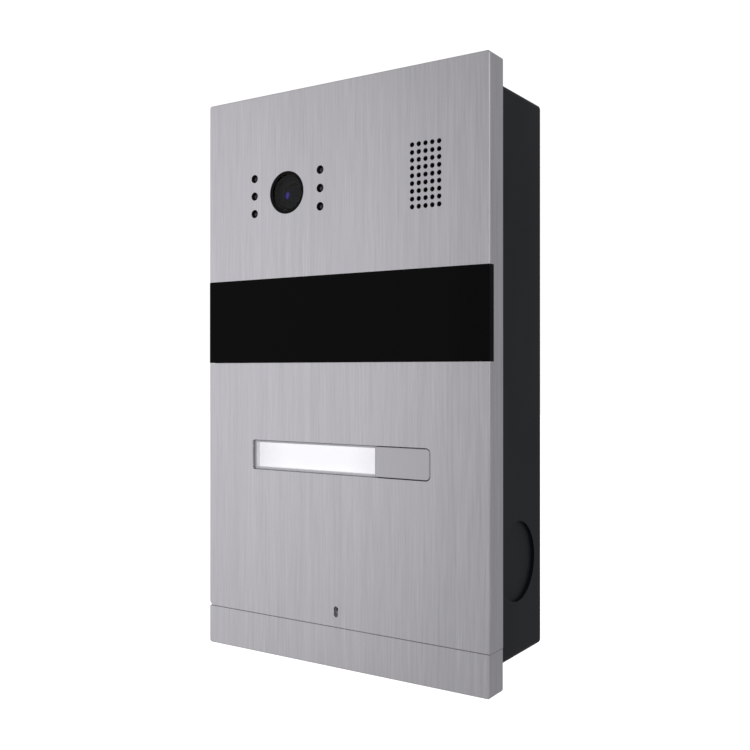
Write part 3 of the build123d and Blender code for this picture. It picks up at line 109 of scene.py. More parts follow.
class Graph(Tree):
    """A material's nodes: a Principled shader, object coordinates and textures that use them."""

    def __init__(self, name):
        self.material = bpy.data.materials.new(name)
        self.material.use_nodes = True
        super().__init__(self.material.node_tree)
        self.shader = self.tree.nodes["Principled BSDF"]
        self.output = self.tree.nodes["Material Output"]
        self.place = self.node("ShaderNodeTexCoord").outputs["Object"]

    def set(self, **sockets):
        for key, value in sockets.items():
            self.feed(self.shader.inputs[key.replace("_", " ")], value)

    def scaled(self, scale, offset=(0, 0, 0)):
        """The object's coordinates, scaled by one number or by one for each axis."""
        mapping = self.node("ShaderNodeMapping")
        self.link(self.place, mapping.inputs["Vector"])
        mapping.inputs["Scale"].default_value = scale if isinstance(scale, tuple) else (scale,) * 3
        mapping.inputs["Location"].default_value = offset
        return mapping.outputs["Vector"]

    def noise(self, scale, detail=3.0, rough=0.55, offset=(0, 0, 0), twist=0.0):
        noise = self.node("ShaderNodeTexNoise")
        self.link(self.scaled(scale, offset), noise.inputs["Vector"])
        noise.inputs["Scale"].default_value = 1.0
        noise.inputs["Detail"].default_value = detail
        noise.inputs["Roughness"].default_value = rough
        noise.inputs["Distortion"].default_value = twist
        return noise.outputs["Fac"]

    def cells(self, scale):
        cells = self.node("ShaderNodeTexVoronoi")
        self.link(self.scaled(scale), cells.inputs["Vector"])
        cells.inputs["Scale"].default_value = 1.0
        return cells.outputs["Distance"]

    def mix(self, amount, a, b):
        made = self.node("ShaderNodeMix", data_type="RGBA")
        self.feed(made.inputs["Factor"], amount)
        self.feed(made.inputs["A"], a)
        self.feed(made.inputs["B"], b)
        return made.outputs["Result"]

    def tinted(self, shade, tone):
        """A colour that a shade makes lighter or darker."""
        colours = self.node("ShaderNodeCombineColor")
        for key, value in zip(("Red", "Green", "Blue"), tone):
            self.link(self.math("MULTIPLY", shade, value), colours.inputs[key])
        return colours.outputs["Color"]

    def bump(self, height, strength, depth_mm):
        made = self.node("ShaderNodeBump")
        self.link(height, made.inputs["Height"])
        made.inputs["Strength"].default_value = strength
        made.inputs["Distance"].default_value = depth_mm * MM
        return made.outputs["Normal"]

    def axis(self, name):
        split = self.node("ShaderNodeSeparateXYZ")
        self.link(self.place, split.inputs["Vector"])
        return split.outputs[name]


def added(name, data):
    """A new object, put in the scene."""
    made = bpy.data.objects.new(name, data)
    bpy.context.scene.collection.objects.link(made)
    return made


def middle(low, high):
    return (low + high) / 2


def grey(value):
    return (value, value, value, 1.0)


def colour(r, g, b):
    return (r, g, b, 1.0)


# Materials ------------------------------------------------

def brushed_plate(name, tone):
    """Aluminium brushed up and down: hairlines over soft, broad bands."""
    g = Graph(name)
    hair = g.noise((2600, 2600, 60), 2.0, 0.6)
    line = g.noise((1100, 1100, 40), 3.0, 0.55, offset=(3.1, 1.7, 0.4))
    band = g.noise((420, 420, 9.0), 2.0, 0.5, offset=(8.3, 2.2, 5.0))
    cloud = g.noise((14, 14, 7), 2.0, 0.5)
    fine = g.math("MULTIPLY", g.span(line, 0.915, 1.085), g.span(hair, 0.95, 1.05))
    broad = g.math("MULTIPLY", g.span(band, 0.965, 1.035), g.span(cloud, 0.99, 1.01))
    grooves = g.math("ADD", g.math("MULTIPLY", hair, 0.45), line)
    upward = g.node("ShaderNodeCombineXYZ")
    upward.inputs["Z"].default_value = 1.0
    g.set(
        Base_Color=g.tinted(g.math("MULTIPLY", fine, broad), tone), Metallic=1.0,
        Roughness=g.span(line, 0.36, 0.46, 0.25, 0.75), Anisotropic=0.45,
        Tangent=upward.outputs["Vector"], Normal=g.bump(grooves, 0.10, 0.05),
    )
    return g.material


def satin_cap(name, tone):
    """The button's cap: a finer, blasted satin with only a trace of grain."""
    g = Graph(name)
    fine = g.noise(7000, 2.0, 0.6)
    grain = g.noise((1500, 1500, 160), 2.0, 0.5)
    shade = g.math("MULTIPLY", g.span(fine, 0.985, 1.015), g.span(grain, 0.985, 1.015))
    g.set(
        Base_Color=g.tinted(shade, tone), Metallic=1.0, Roughness=g.span(fine, 0.40, 0.48),
        Normal=g.bump(fine, 0.12, 0.02),
    )
    return g.material


def gloss_black(name):
    """Cast black acrylic: deep, almost even, with the faintest ripple in its gloss."""
    g = Graph(name)
    ripple = g.noise(160, 1.0, 0.4)
    dust = g.noise(1800, 2.0, 0.7)
    clean, dusty = colour(0.0062, 0.0061, 0.0063), colour(0.0074, 0.0073, 0.0075)
    g.set(
        Base_Color=g.mix(g.span(dust, 0.0, 1.0, 0.35, 0.75), clean, dusty),
        Roughness=g.span(dust, 0.05, 0.09, 0.4, 0.8), Specular_IOR_Level=0.014,
        Normal=g.bump(ripple, 0.02, 0.2),
    )
    return g.material


def moulded(name, base, light, rough=0.55, grain=2400, depth=0.03, gloss=0.45, painted_glow=0.0):
    """Injection-moulded plastic with a fine eroded texture and slow changes of sheen."""
    g = Graph(name)
    texture = g.noise(grain, 3.0, 0.65)
    pits = g.cells(grain * 0.8)
    flow = g.noise((18, 18, 9), 2.0, 0.5, twist=0.6)
    tone = g.math("ADD", g.span(texture, 0.0, 0.6, 0.3, 0.75), g.span(flow, 0.0, 0.4))
    height = g.math("ADD", texture, g.math("MULTIPLY", pits, 0.5))
    g.set(
        Base_Color=g.mix(tone, base, light), Roughness=g.span(flow, rough - 0.04, rough + 0.05),
        Specular_IOR_Level=gloss, Normal=g.bump(height, 0.35, depth),
    )
    # Painted light: given a strength, the plastic emits a faint white light of its own, though it is no lamp.
    if painted_glow:
        g.set(Emission_Color=colour(0.97, 0.98, 1.0), Emission_Strength=g.span(flow, painted_glow, painted_glow * 0.9))
    return g.material


def soft_rubber(name, base, light):
    """Silicone or closed-cell foam: dull, finely porous, slightly dusty."""
    g = Graph(name)
    pores = g.cells(1600)
    dust = g.noise(220, 4.0, 0.6)
    g.set(
        Base_Color=g.mix(g.span(dust, 0.0, 1.0), base, light),
        Roughness=g.span(pores, 0.72, 0.9, 0.0, 1.0), Specular_IOR_Level=0.3, Sheen_Weight=0.15,
        Normal=g.bump(pores, 0.4, 0.06),
    )
    return g.material


def plain_metal(name, tone, rough, grain=700):
    """Turned, pressed or plated metal with fine handling marks."""
    g = Graph(name)
    scratch = g.noise(grain, 3.0, 0.6)
    smudge = g.noise(120, 3.0, 0.6)
    g.set(
        Base_Color=g.tinted(g.span(smudge, 0.93, 1.04), tone), Metallic=1.0,
        Roughness=g.span(smudge, rough - 0.05, rough + 0.08), Normal=g.bump(scratch, 0.2, 0.02),
    )
    return g.material


def circuit(name, mask, trace):
    """Solder mask over copper: tracks laid at right angles, with round pads and vias."""
    g = Graph(name)
    flat = g.node("ShaderNodeMapping")
    g.link(g.place, flat.inputs["Vector"])
    flat.inputs["Rotation"].default_value = (math.radians(90), 0, 0)
    flat.inputs["Scale"].default_value = (260, 260, 260)
    bricks = g.node("ShaderNodeTexBrick", offset=0.5, squash=1.0)
    g.link(flat.outputs["Vector"], bricks.inputs["Vector"])
    for key, value in (("Scale", 1.0), ("Mortar Size", 0.05), ("Brick Width", 1.9), ("Row Height", 0.42)):
        bricks.inputs[key].default_value = value
    tracks = bricks.outputs["Fac"]
    spots = g.span(g.cells(380), 1.0, 0.0, 0.10, 0.16)
    wear = g.noise(90, 3.0, 0.6)
    base = g.mix(g.math("MULTIPLY", tracks, 0.75), mask, trace)
    base = g.mix(g.span(wear, 0.0, 0.25, 0.35, 0.7), base, grey(0.02))
    g.set(
        Base_Color=g.mix(spots, base, colour(0.55, 0.52, 0.44)), Metallic=g.math("MULTIPLY", spots, 0.9),
        Roughness=g.span(spots, 0.32, 0.25, 0.0, 1.0), Coat_Weight=0.3,
        Normal=g.bump(g.math("ADD", tracks, spots), 0.25, 0.04),
    )
    return g.material


def thin_glass(name, tint, gloss):
    """A thin clear pane: light passes straight through and its surface keeps a mirror film."""
    g = Graph(name)
    clear = g.node("ShaderNodeBsdfTransparent")
    clear.inputs["Color"].default_value = tint
    film = g.node("ShaderNodeBsdfGlossy")
    film.inputs["Color"].default_value = gloss
    smear = g.noise((90, 90, 160), 4.0, 0.6)
    g.link(g.span(smear, 0.02, 0.05, 0.4, 0.8), film.inputs["Roughness"])
    # The film is as strong from behind as from in front, and strongest at a glancing angle
    face_on, steepness = 0.04, 5.0
    facing = g.node("ShaderNodeLayerWeight").outputs["Facing"]
    rise = g.math("MULTIPLY", g.math("POWER", facing, steepness), 1.0 - face_on)
    pane = g.blend(g.math("ADD", rise, face_on), clear.outputs["BSDF"], film.outputs["BSDF"])
    g.link(pane, g.output.inputs["Surface"])
    g.tree.nodes.remove(g.shader)
    return g.material


def painted_cloth(name, base, light):
    """Fine woven mesh: threads over and under."""
    g = Graph(name)
    threads = []
    for way in ("X", "Z"):
        wave = g.node("ShaderNodeTexWave", bands_direction=way, wave_profile="SIN")
        g.link(g.place, wave.inputs["Vector"])
        wave.inputs["Scale"].default_value = 1500
        wave.inputs["Distortion"].default_value = 0.4
        threads.append(wave.outputs["Fac"])
    weave = g.math("MAXIMUM", *threads)
    g.set(
        Base_Color=g.mix(weave, base, light), Roughness=0.7, Specular_IOR_Level=0.3,
        Normal=g.bump(weave, 0.6, 0.05),
    )
    return g.material


def painted_glow_card(name, base, painted_glow):
    """Plain white card with painted light: its emission stands in for the backlight shining through it from
    behind, a little less towards its ends.
    """
    g = Graph(name)
    low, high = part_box("name_card")
    centre, half = (low.x + high.x) / 2, (high.x - low.x) / 2
    along = g.math("ABSOLUTE", g.math("SUBTRACT", g.axis("X"), centre))
    # Painted falloff: the emission is a fifth lower at the card's ends, where less of the backlight would
    # reach.
    painted_falloff = g.span(along, 1.0, 0.80, half * 0.55, half)
    fibre = g.noise(1500, 4.0, 0.7)
    paper = g.mix(g.span(fibre, 0.0, 1.0, 0.35, 0.7), grey(base), grey(base * 0.965))
    lit = g.math("MULTIPLY", g.math("MULTIPLY", painted_falloff, g.span(fibre, 1.0, 0.985, 0.35, 0.7)), painted_glow)
    g.set(
        Base_Color=paper, Roughness=0.7, Emission_Color=colour(0.985, 0.985, 1.0), Emission_Strength=lit,
        Normal=g.bump(fibre, 0.1, 0.02),
    )
    return g.material


def coated_glass(name, deep, film, painted_glint_mm=None):
    """Dark, solid glass under a coloured coating; given an offset in millimetres, a painted violet glint, a
    glowing spot that stands in for a reflection, sits that far off centre.
    """
    g = Graph(name)
    haze = g.noise(900, 2.0, 0.5)
    lighter = colour(*(1.2 * value for value in deep[:3]))
    g.set(
        Base_Color=g.mix(g.span(haze, 0.0, 1.0, 0.35, 0.7), deep, lighter),
        Roughness=g.span(haze, 0.03, 0.06, 0.4, 0.7), Specular_IOR_Level=0.30, Specular_Tint=film,
        Coat_Weight=0.15, Coat_Roughness=0.02, Coat_Tint=film,
    )
    # Painted reflection: a soft violet glowing spot stands in for a light's glint in the coating, 0.3 mm
    # below the middle.
    if painted_glint_mm is not None:
        mid = middle(*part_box("front_lens"))
        across = g.math("SUBTRACT", g.axis("X"), mid.x + painted_glint_mm * MM)
        upward = g.math("SUBTRACT", g.axis("Z"), mid.z - 0.3 * MM)
        spread = g.math("SQRT", g.math("ADD", g.math("POWER", across, 2.0), g.math("POWER", upward, 2.0)))
        uneven = g.span(g.noise(500, 2.0, 0.5), 0.85, 1.15)
        painted_glint_spot = g.span(g.math("MULTIPLY", spread, uneven), 1.0, 0.0, 0.7 * MM, 1.7 * MM)
        g.set(Emission_Color=colour(0.14, 0.09, 0.62), Emission_Strength=g.math("MULTIPLY", painted_glint_spot, 1.1))
    return g.material


def plain_materials():
    """The materials that carry the name of their slot in the record."""
    return [
        moulded("box_plastic", colour(0.0044, 0.0068, 0.0094), colour(0.0064, 0.0090, 0.0118), gloss=0.20),
        moulded("cover_plastic", colour(0.014, 0.0145, 0.015), colour(0.019, 0.0195, 0.02), grain=1800),
        moulded("tape", grey(0.02), grey(0.028), rough=0.7),
        moulded("black_moulding", colour(0.012, 0.0125, 0.0135), colour(0.016, 0.0165, 0.0175), rough=0.45),
        moulded("chip_black", grey(0.014), grey(0.02), rough=0.5, grain=3500),
        moulded("led_lens", grey(0.10), grey(0.13), rough=0.16, depth=0.004),
        moulded("cone_film", colour(0.05, 0.045, 0.04), colour(0.07, 0.06, 0.05), rough=0.3),
        moulded("guide_milky", grey(0.78), grey(0.84), rough=0.25, depth=0.01),
        moulded("white_moulding", grey(0.66), grey(0.72), rough=0.4, depth=0.01),
        moulded("led_white", colour(0.80, 0.74, 0.30), colour(0.85, 0.80, 0.45), rough=0.3),
        moulded("terminal_green", colour(0.012, 0.17, 0.045), colour(0.02, 0.22, 0.06), rough=0.4),
        moulded("relay_blue", colour(0.01, 0.04, 0.16), colour(0.015, 0.055, 0.2), rough=0.25),
        moulded("capacitor_sleeve", colour(0.01, 0.012, 0.03), colour(0.016, 0.02, 0.04), rough=0.25),
        moulded("lead_red", colour(0.30, 0.01, 0.01), colour(0.36, 0.02, 0.015), rough=0.35),
        moulded("lead_black", grey(0.012), grey(0.02), rough=0.35),
        moulded("socket_white", colour(0.62, 0.59, 0.52), colour(0.68, 0.66, 0.6), rough=0.4),
        soft_rubber("seal_foam", grey(0.012), grey(0.02)),
        soft_rubber("silicone", grey(0.02), grey(0.03)),
        plain_metal("spring_steel", (0.48, 0.48, 0.50), 0.26, grain=(900, 900, 60)),
        plain_metal("barrel_black", (0.02, 0.02, 0.021), 0.42),
        plain_metal("sensor", (0.10, 0.14, 0.20), 0.12),
        circuit("circuit_board", colour(0.006, 0.075, 0.022), colour(0.02, 0.14, 0.05)),
        circuit("light_board", grey(0.008), grey(0.018)),
        thin_glass("window_glass", colour(0.52, 0.55, 0.56), grey(0.30)),
        thin_glass("lens_glass", colour(0.70, 0.72, 0.80), colour(0.62, 0.70, 0.66)),
        thin_glass("clear_cover", colour(0.97, 0.97, 0.98), grey(0.85)),
        painted_cloth("mesh_black", grey(0.004), grey(0.018)),
    ]


# One material for each of the record's slots. Blender ends a name that is taken with a dot and a number
MATERIALS = {made.name.partition(".")[0]: made for made in plain_materials()} | {
    "plate_metal": brushed_plate("brushed_plate", (0.535, 0.528, 0.556)),
    "button_metal": satin_cap("satin_cap", (0.530, 0.523, 0.551)),
    "band_acrylic": gloss_black("gloss_black"),
    "brass": plain_metal("turned_brass", (0.72, 0.53, 0.25), 0.28),
    "screw_steel": plain_metal("zinc_steel", (0.62, 0.62, 0.63), 0.30),
    "copper": plain_metal("copper_trace", (0.78, 0.40, 0.24), 0.25),
    "speaker_steel": plain_metal("pressed_steel", (0.42, 0.42, 0.43), 0.34),
    "magnet": plain_metal("plated_magnet", (0.58, 0.58, 0.60), 0.22),
    # The card's emission is painted light, standing in for the backlight behind it.
    "card_white": painted_glow_card("painted_glow_card", 0.80, 0.62),
}
# The front glass carries a painted glint: a violet glowing spot 2.6 mm left of its middle that stands in for
# a reflection.
FRONT_COATING_AND_PAINTED_GLINT = coated_glass("front_coating_painted_glint", colour(0.0012, 0.0013, 0.0022), colour(0.42, 0.38, 1.0), -2.6)
REAR_COATING = coated_glass("rear_coating", colour(0.010, 0.016, 0.014), colour(0.45, 0.9, 0.6))
SMOKY_DOME = coated_glass("smoky_dome", colour(0.030, 0.030, 0.031), colour(0.9, 0.9, 0.95))
PASSIVE_BROWN = moulded("passive_brown", colour(0.22, 0.13, 0.07), colour(0.30, 0.19, 0.11), rough=0.35)
BEZEL_BLACK = moulded("bezel_black", grey(0.0022), grey(0.0032), rough=0.5, gloss=0.10)
# Painted light: the name tray's white walls emit a little, standing in for the backlight that reaches them.
PAINTED_GLOW_TRAY = moulded("painted_glow_tray", grey(0.66), grey(0.72), rough=0.4, depth=0.01, painted_glow=0.12)
OWN_LOOK = {"camera_bezel": BEZEL_BLACK, "name_housing": PAINTED_GLOW_TRAY}
for row in frame["record"]["subparts"]:
    shown = NODES[row["node"]]
    shown.data.materials.clear()
    shown.data.materials.append(OWN_LOOK.get(row["node"], MATERIALS[row["material_slot"]]))


# Shapes ---------------------------------------------------

BODY_OF = {n: body for body, rows in frame["record"]["behaviour"]["bodies"].items() for n in rows}
SLOT_OF = {row["node"]: row["material_slot"] for row in frame["record"]["subparts"]}


def centred(low, high):
    """The middle of a box, and half its width."""
    return (low + high) / 2, (high.x - low.x) / 2


def solids(node):
    """The corners of each separate solid in a CAD node, from left to right and then upwards."""
    mesh = NODES[node].data
    places = {}
    ids = [places.setdefault(tuple(round(c, 6) for c in v.co), len(places)) for v in mesh.vertices]
    link = list(range(len(places)))

    def root(i):
        while link[i] != i:
            i = link[i]
        return i

    for face in mesh.polygons:
        first = root(ids[face.vertices[0]])
        for v in face.vertices[1:]:
            link[root(ids[v])] = first
    groups = {}
    for place, i in places.items():
        groups.setdefault(root(i), []).append(place)
    boxes = [
        (Vector(min(c) for c in zip(*points)), Vector(max(c) for c in zip(*points)))
        for points in groups.values()
    ]
    return sorted(boxes, key=lambda b: (round(b[0].x, 4), round(b[0].z, 4)))


class Build:
    """Gathers blocks and turned shapes into one mesh. Lengths are in metres, and depth is y.

    Turned and wound shapes take x and z from the place they are given, and each y by itself.
    """

    def __init__(self):
        self.bm = bmesh.new()

    def block(self, low, high, edge=0.0, segments=2):
        """A block between two corners, with rounded edges."""
        low, high = Vector(low), Vector(high)
        place = Matrix.Translation((low + high) / 2) @ Matrix.Diagonal((*(high - low), 1.0))
        made = bmesh.ops.create_cube(self.bm, size=1.0, matrix=place)
        if edge:
            edges = list({e for v in made["verts"] for e in v.link_edges})
            bmesh.ops.bevel(
                self.bm, geom=edges, offset=edge, segments=segments, profile=0.5, affect="EDGES"
            )

    def around(self, x, y, z, half_x, half_y, half_z, edge=0.0):
        self.block((x - half_x, y - half_y, z - half_z), (x + half_x, y + half_y, z + half_z), edge)

    def corner(self, place, wide, turn, y):
        """A corner at a distance and an angle from the depthwise line through a place."""
        x, _, z = place
        return self.bm.verts.new((x + wide * math.cos(turn), y, z + wide * math.sin(turn)))

    def tube(self, rings):
        """Joins rings of corners one to the next, and closes both ends."""
        for a, b in zip(rings, rings[1:]):
            for j in range(len(a)):
                k = (j + 1) % len(a)
                self.bm.faces.new((a[j], a[k], b[k], b[j]))
        self.bm.faces.new(rings[0])
        self.bm.faces.new(rings[-1])

    def turned(self, place, profile, count=48, ripple=None):
        """A shape turned about a depthwise line, from (radius, y) points; it closes at radius 0."""
        rings = []
        for row, (r, y) in enumerate(profile):
            if r == 0:
                rings.append([self.corner(place, 0.0, 0.0, y)])
                continue
            ring = []
            for j in range(count):
                turn = 2 * math.pi * j / count
                wide = r * (ripple(turn, row) if ripple else 1.0)
                ring.append(self.corner(place, wide, turn, y))
            rings.append(ring)
        if profile[0][0] != 0:
            rings.append(rings[0])
        for a, b in zip(rings, rings[1:]):
            for j in range(count):
                corners = [a[j % len(a)], a[(j + 1) % len(a)], b[(j + 1) % len(b)], b[j % len(b)]]
                self.bm.faces.new(list(dict.fromkeys(corners)))

    def threaded(self, place, y0, y1, r, pitch):
        """A threaded shank: one ridge winding along it, a quarter of the pitch deep, with closed ends."""
        count, rings_a_turn = 24, 6
        steps = max(2, math.ceil(abs(y1 - y0) / pitch * rings_a_turn))
        deep = pitch / 4
        rings = []
        for i in range(steps + 1):
            y = y0 + (y1 - y0) * i / steps
            ring = []
            for j in range(count):
                phase = (abs(y - y0) / pitch + j / count) % 1.0
                wide = r - deep * abs(2 * phase - 1)
                ring.append(self.corner(place, wide, 2 * math.pi * j / count, y))
            rings.append(ring)
        self.tube(rings)

    def cross(self, place, y0, y1, reach, arm):
        """A cross-shaped block: what a screwdriver's tip fills."""
        x, _, z = place
        corners = [
            (arm, reach), (arm, arm), (reach, arm), (reach, -arm), (arm, -arm), (arm, -reach),
            (-arm, -reach), (-arm, -arm), (-reach, -arm), (-reach, arm), (-arm, arm), (-arm, reach),
        ]
        self.tube([[self.bm.verts.new((x + a, y, z + b)) for a, b in corners] for y in (y0, y1)])

    def coil(self, place, y0, y1, r, wire, turns):
        """A wire wound about a depthwise line, with three quarters of each end turn laid flat."""
        count, sides = 28, 8
        flat = 0.75 / turns
        rings = []
        for i in range(turns * count + 1):
            along = i / (turns * count)
            turn = 2 * math.pi * turns * along
            lift = min(max((along - flat) / (1 - 2 * flat), 0.0), 1.0)
            y = y0 + wire + (y1 - y0 - 2 * wire) * lift
            ring = []
            for j in range(sides):
                round_wire = 2 * math.pi * j / sides
                wide = r + wire * math.cos(round_wire)
                ring.append(self.corner(place, wide, turn, y + wire * math.sin(round_wire)))
            rings.append(ring)
        self.tube(rings)

    def mesh(self, name):
        bmesh.ops.recalc_face_normals(self.bm, faces=self.bm.faces)
        made = bpy.data.meshes.new(name)
        self.bm.to_mesh(made)
        self.bm.free()
        return made


def carve(build, cutter, name):
    """What is left of one shape when another is cut out of it."""
    meshes = (build.mesh(name), cutter.mesh(f"{name}_cutter"))
    things = [added(f"{name}_{i}", mesh) for i, mesh in enumerate(meshes)]
    cut = things[0].modifiers.new("cut", "BOOLEAN")
    cut.operation = "DIFFERENCE"
    cut.object = things[1]
    bpy.context.view_layer.update()
    shown = things[0].evaluated_get(bpy.context.evaluated_depsgraph_get())
    made = bpy.data.meshes.new_from_object(shown)
    for thing in things:
        bpy.data.objects.remove(thing)
    made.name = name
    return made


def piece(name, mesh, node, material=None, stands_for=True, sharp=35):
    """Puts a mesh in the scene as a piece that rides with a CAD node, and may stand for it."""
    if isinstance(mesh, Build):
        mesh = mesh.mesh(name)
    mesh.shade_smooth()
    mesh.set_sharp_from_angle(angle=math.radians(sharp))
    mesh.materials.clear()
    mesh.materials.append(material or MATERIALS[SLOT_OF[node]])
    made = added(name, mesh)
    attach(made, BODY_OF[node])
    if stands_for:
        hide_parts(node)
    return made


def detail(name, mesh, node, slot):
    """A piece that adds to a CAD node, in the material of any slot."""
    piece(name, mesh, node, MATERIALS[slot], stands_for=False)


# Screws and inserts ---------------------------------------

# Each node's head height, shank radius and thread pitch in millimetres, and whether it faces front
SCREWS = {
    "fixing_screws": (1.9, 1.95, 0.7, True),
    "cover_screws": (2.2, 1.45, 0.5, False),
    "board_screws": (1.5, 1.2, 0.45, True),
    "camera_screws": (1.0, 0.95, 0.4, True),
    "housing_screws": (1.4, 0.95, 0.4, False),
}


def screw_pieces():
    """Pan-head screws with a domed head, a cross recess and a real thread."""
    for node, (head, shank_r, pitch, front) in SCREWS.items():
        heads, recess, shanks = Build(), Build(), Build()
        for low, high in solids(node):
            mid, r = centred(low, high)
            top, tip, way = (low.y, high.y, 1) if front else (high.y, low.y, -1)
            tall = head * MM * way
            heads.turned(mid, [
                (0, top), (0.45 * r, top + 0.03 * tall), (0.78 * r, top + 0.18 * tall),
                (0.95 * r, top + 0.45 * tall), (r, top + 0.72 * tall), (r, top + tall), (0, top + tall),
            ])
            recess.cross(mid, top - 0.2 * tall, top + 0.5 * tall, 0.52 * r, 0.13 * r)
            shanks.threaded(mid, top + 0.9 * tall, tip, shank_r * MM, pitch * MM)
        name = node.rstrip("s")
        piece(f"{name}_heads", carve(heads, recess, name), node)
        piece(f"{name}_threads", shanks, node)


def terminal_screw_piece():
    """The terminal block's slotted clamping screws."""
    heads, slots = Build(), Build()
    for low, high in solids("terminal_screws"):
        mid, r = centred(low, high)
        heads.turned(mid, [
            (0, low.y), (r, low.y), (r, high.y - 0.35 * MM), (0.9 * r, high.y - 0.1 * MM),
            (0.8 * r, high.y), (0, high.y),
        ], count=32)
        depth, half_width = 0.8 * MM, 0.35 * MM
        slots.around(mid.x, high.y, mid.z, 1.2 * r, depth, half_width)
    made = carve(heads, slots, "terminal_screw_heads")
    piece("terminal_screw_heads", made, "terminal_screws")


def insert_piece():
    """Brass inserts, knurled in two bands with a groove between them."""
    knurls = Build()
    bore, half, teeth, deep = 2.0 * MM, 0.5 * MM, 36, 0.035
    knurled = (2, 3, 6, 7)

    def ripple(turn, row):
        return 1.0 - (deep * (0.5 + 0.5 * math.cos(teeth * turn)) if row in knurled else 0)

    for low, high in solids("box_inserts"):
        mid, r = centred(low, high)
        y0, y1 = low.y, high.y
        rows = [
            (bore, y0), (0.94 * r, y0), (r, y0 + 0.3 * MM), (r, mid.y - half), (0.86 * r, mid.y - half),
            (0.86 * r, mid.y + half), (r, mid.y + half), (r, y1 - 0.3 * MM), (0.94 * r, y1), (bore, y1),
        ]
        knurls.turned(mid, rows, 144, ripple)
    piece("knurled_inserts", knurls, "box_inserts", sharp=20)


# Camera ---------------------------------------------------

def camera_pieces():
    """The lens: a ribbed barrel, its retaining ring and iris, two coated glasses and the sensor."""
    low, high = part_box("lens_barrel")
    mid, r = centred(low, high)
    front, back = low.y, high.y
    lens_low, lens_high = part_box("front_lens")
    rear_low, rear_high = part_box("rear_lens")
    lens_r, rear_r = (lens_high.x - lens_low.x) / 2, (rear_high.x - rear_low.x) / 2
    seat = lens_high.y
    smooth, rib = 5.5 * MM, 0.5 * MM
    y = front + smooth
    rows = [(r, front), (r, y)]
    while y + rib < back:
        rows += [(0.93 * r, y + 0.12 * MM), (0.88 * r, y + 0.25 * MM), (0.93 * r, y + 0.38 * MM)]
        y += rib
    rows += [(0.93 * r, back), (0.42 * r, back), (0.42 * r, rear_high.y), (rear_r, rear_high.y)]
    rows += [(rear_r, rear_low.y), (rear_r + 0.3 * MM, seat + 0.4 * MM), (lens_r, seat), (lens_r, lens_low.y)]
    steps = 5
    for i in range(steps):
        wide = lens_r + (0.89 * r - lens_r) * i / steps
        depth = lens_low.y + (front - lens_low.y) * i / steps
        rows += [(wide, depth), (wide + 0.10 * MM, depth)]
    rows += [(0.90 * r, front)]
    barrel = Build()
    barrel.turned(mid, rows, count=72)
    piece("ribbed_barrel", barrel, "lens_barrel", sharp=25)

    ring = Build()
    ring_y = lens_low.y - 0.05 * MM
    ring.turned(mid, [
        (lens_r - 0.55 * MM, ring_y + 0.55 * MM), (lens_r - 0.1 * MM, ring_y),
        (lens_r + 0.1 * MM, ring_y), (lens_r + 0.1 * MM, ring_y + 0.6 * MM),
    ], count=72)
    detail("retaining_ring", ring, "lens_barrel", "black_moulding")

    slack = 0.02 * MM
    for end, y0, y1, wide, bulge, coating in (
        ("front", lens_low.y, lens_high.y, lens_r, 9.0 * MM, FRONT_COATING_AND_PAINTED_GLINT),
        ("rear", rear_low.y, rear_high.y, rear_r, 5.0 * MM, REAR_COATING),
    ):
        glass = Build()
        glass.turned(mid, lens_profile(y0, y1, wide - slack, bulge), 72)
        piece(f"{end}_glass", glass, f"{end}_lens", coating, sharp=60)

    iris = Build()
    iris_y = (seat + rear_low.y) / 2
    hole = 1.5 * MM
    iris.turned(mid, [
        (hole, iris_y), (rear_r + 0.2 * MM, iris_y - 0.6 * MM), (rear_r + 0.2 * MM, iris_y - 0.4 * MM),
        (hole, iris_y + 0.12 * MM),
    ], count=72)
    detail("iris", iris, "lens_barrel", "black_moulding")

    low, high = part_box("image_sensor")
    mid = middle(low, high)
    package = Build()
    package.block(low, high, 0.15 * MM)
    piece("sensor_package", package, "image_sensor", MATERIALS["chip_black"])
    die, rim_x, rim_z, proud = Build(), 1.2 * MM, 1.1 * MM, 0.03 * MM
    die.block((low.x + rim_x, low.y - proud, low.z + rim_z), (high.x - rim_x, low.y, high.z - rim_z))
    detail("sensor_die", die, "image_sensor", "sensor")
    pads, pitch, reach = Build(), 0.62, 2.85
    for side in (-1, 1):
        for i in range(-4, 5):
            x, z = mid.x + side * reach * MM, mid.z + i * pitch * MM
            pads.around(x, low.y - 0.01 * MM, z, 0.28 * MM, 0.02 * MM, 0.16 * MM)
    detail("sensor_pads", pads, "image_sensor", "brass")


def lens_profile(front, back, r, bulge):
    """A lens profile, domed at the front and flat at the back."""
    rows = []
    steps = 14
    for i in range(steps + 1):
        wide = r * i / steps
        rows.append((wide, front + bulge - math.sqrt(bulge ** 2 - wide ** 2)))
    return rows + [(r, back), (0, back)]


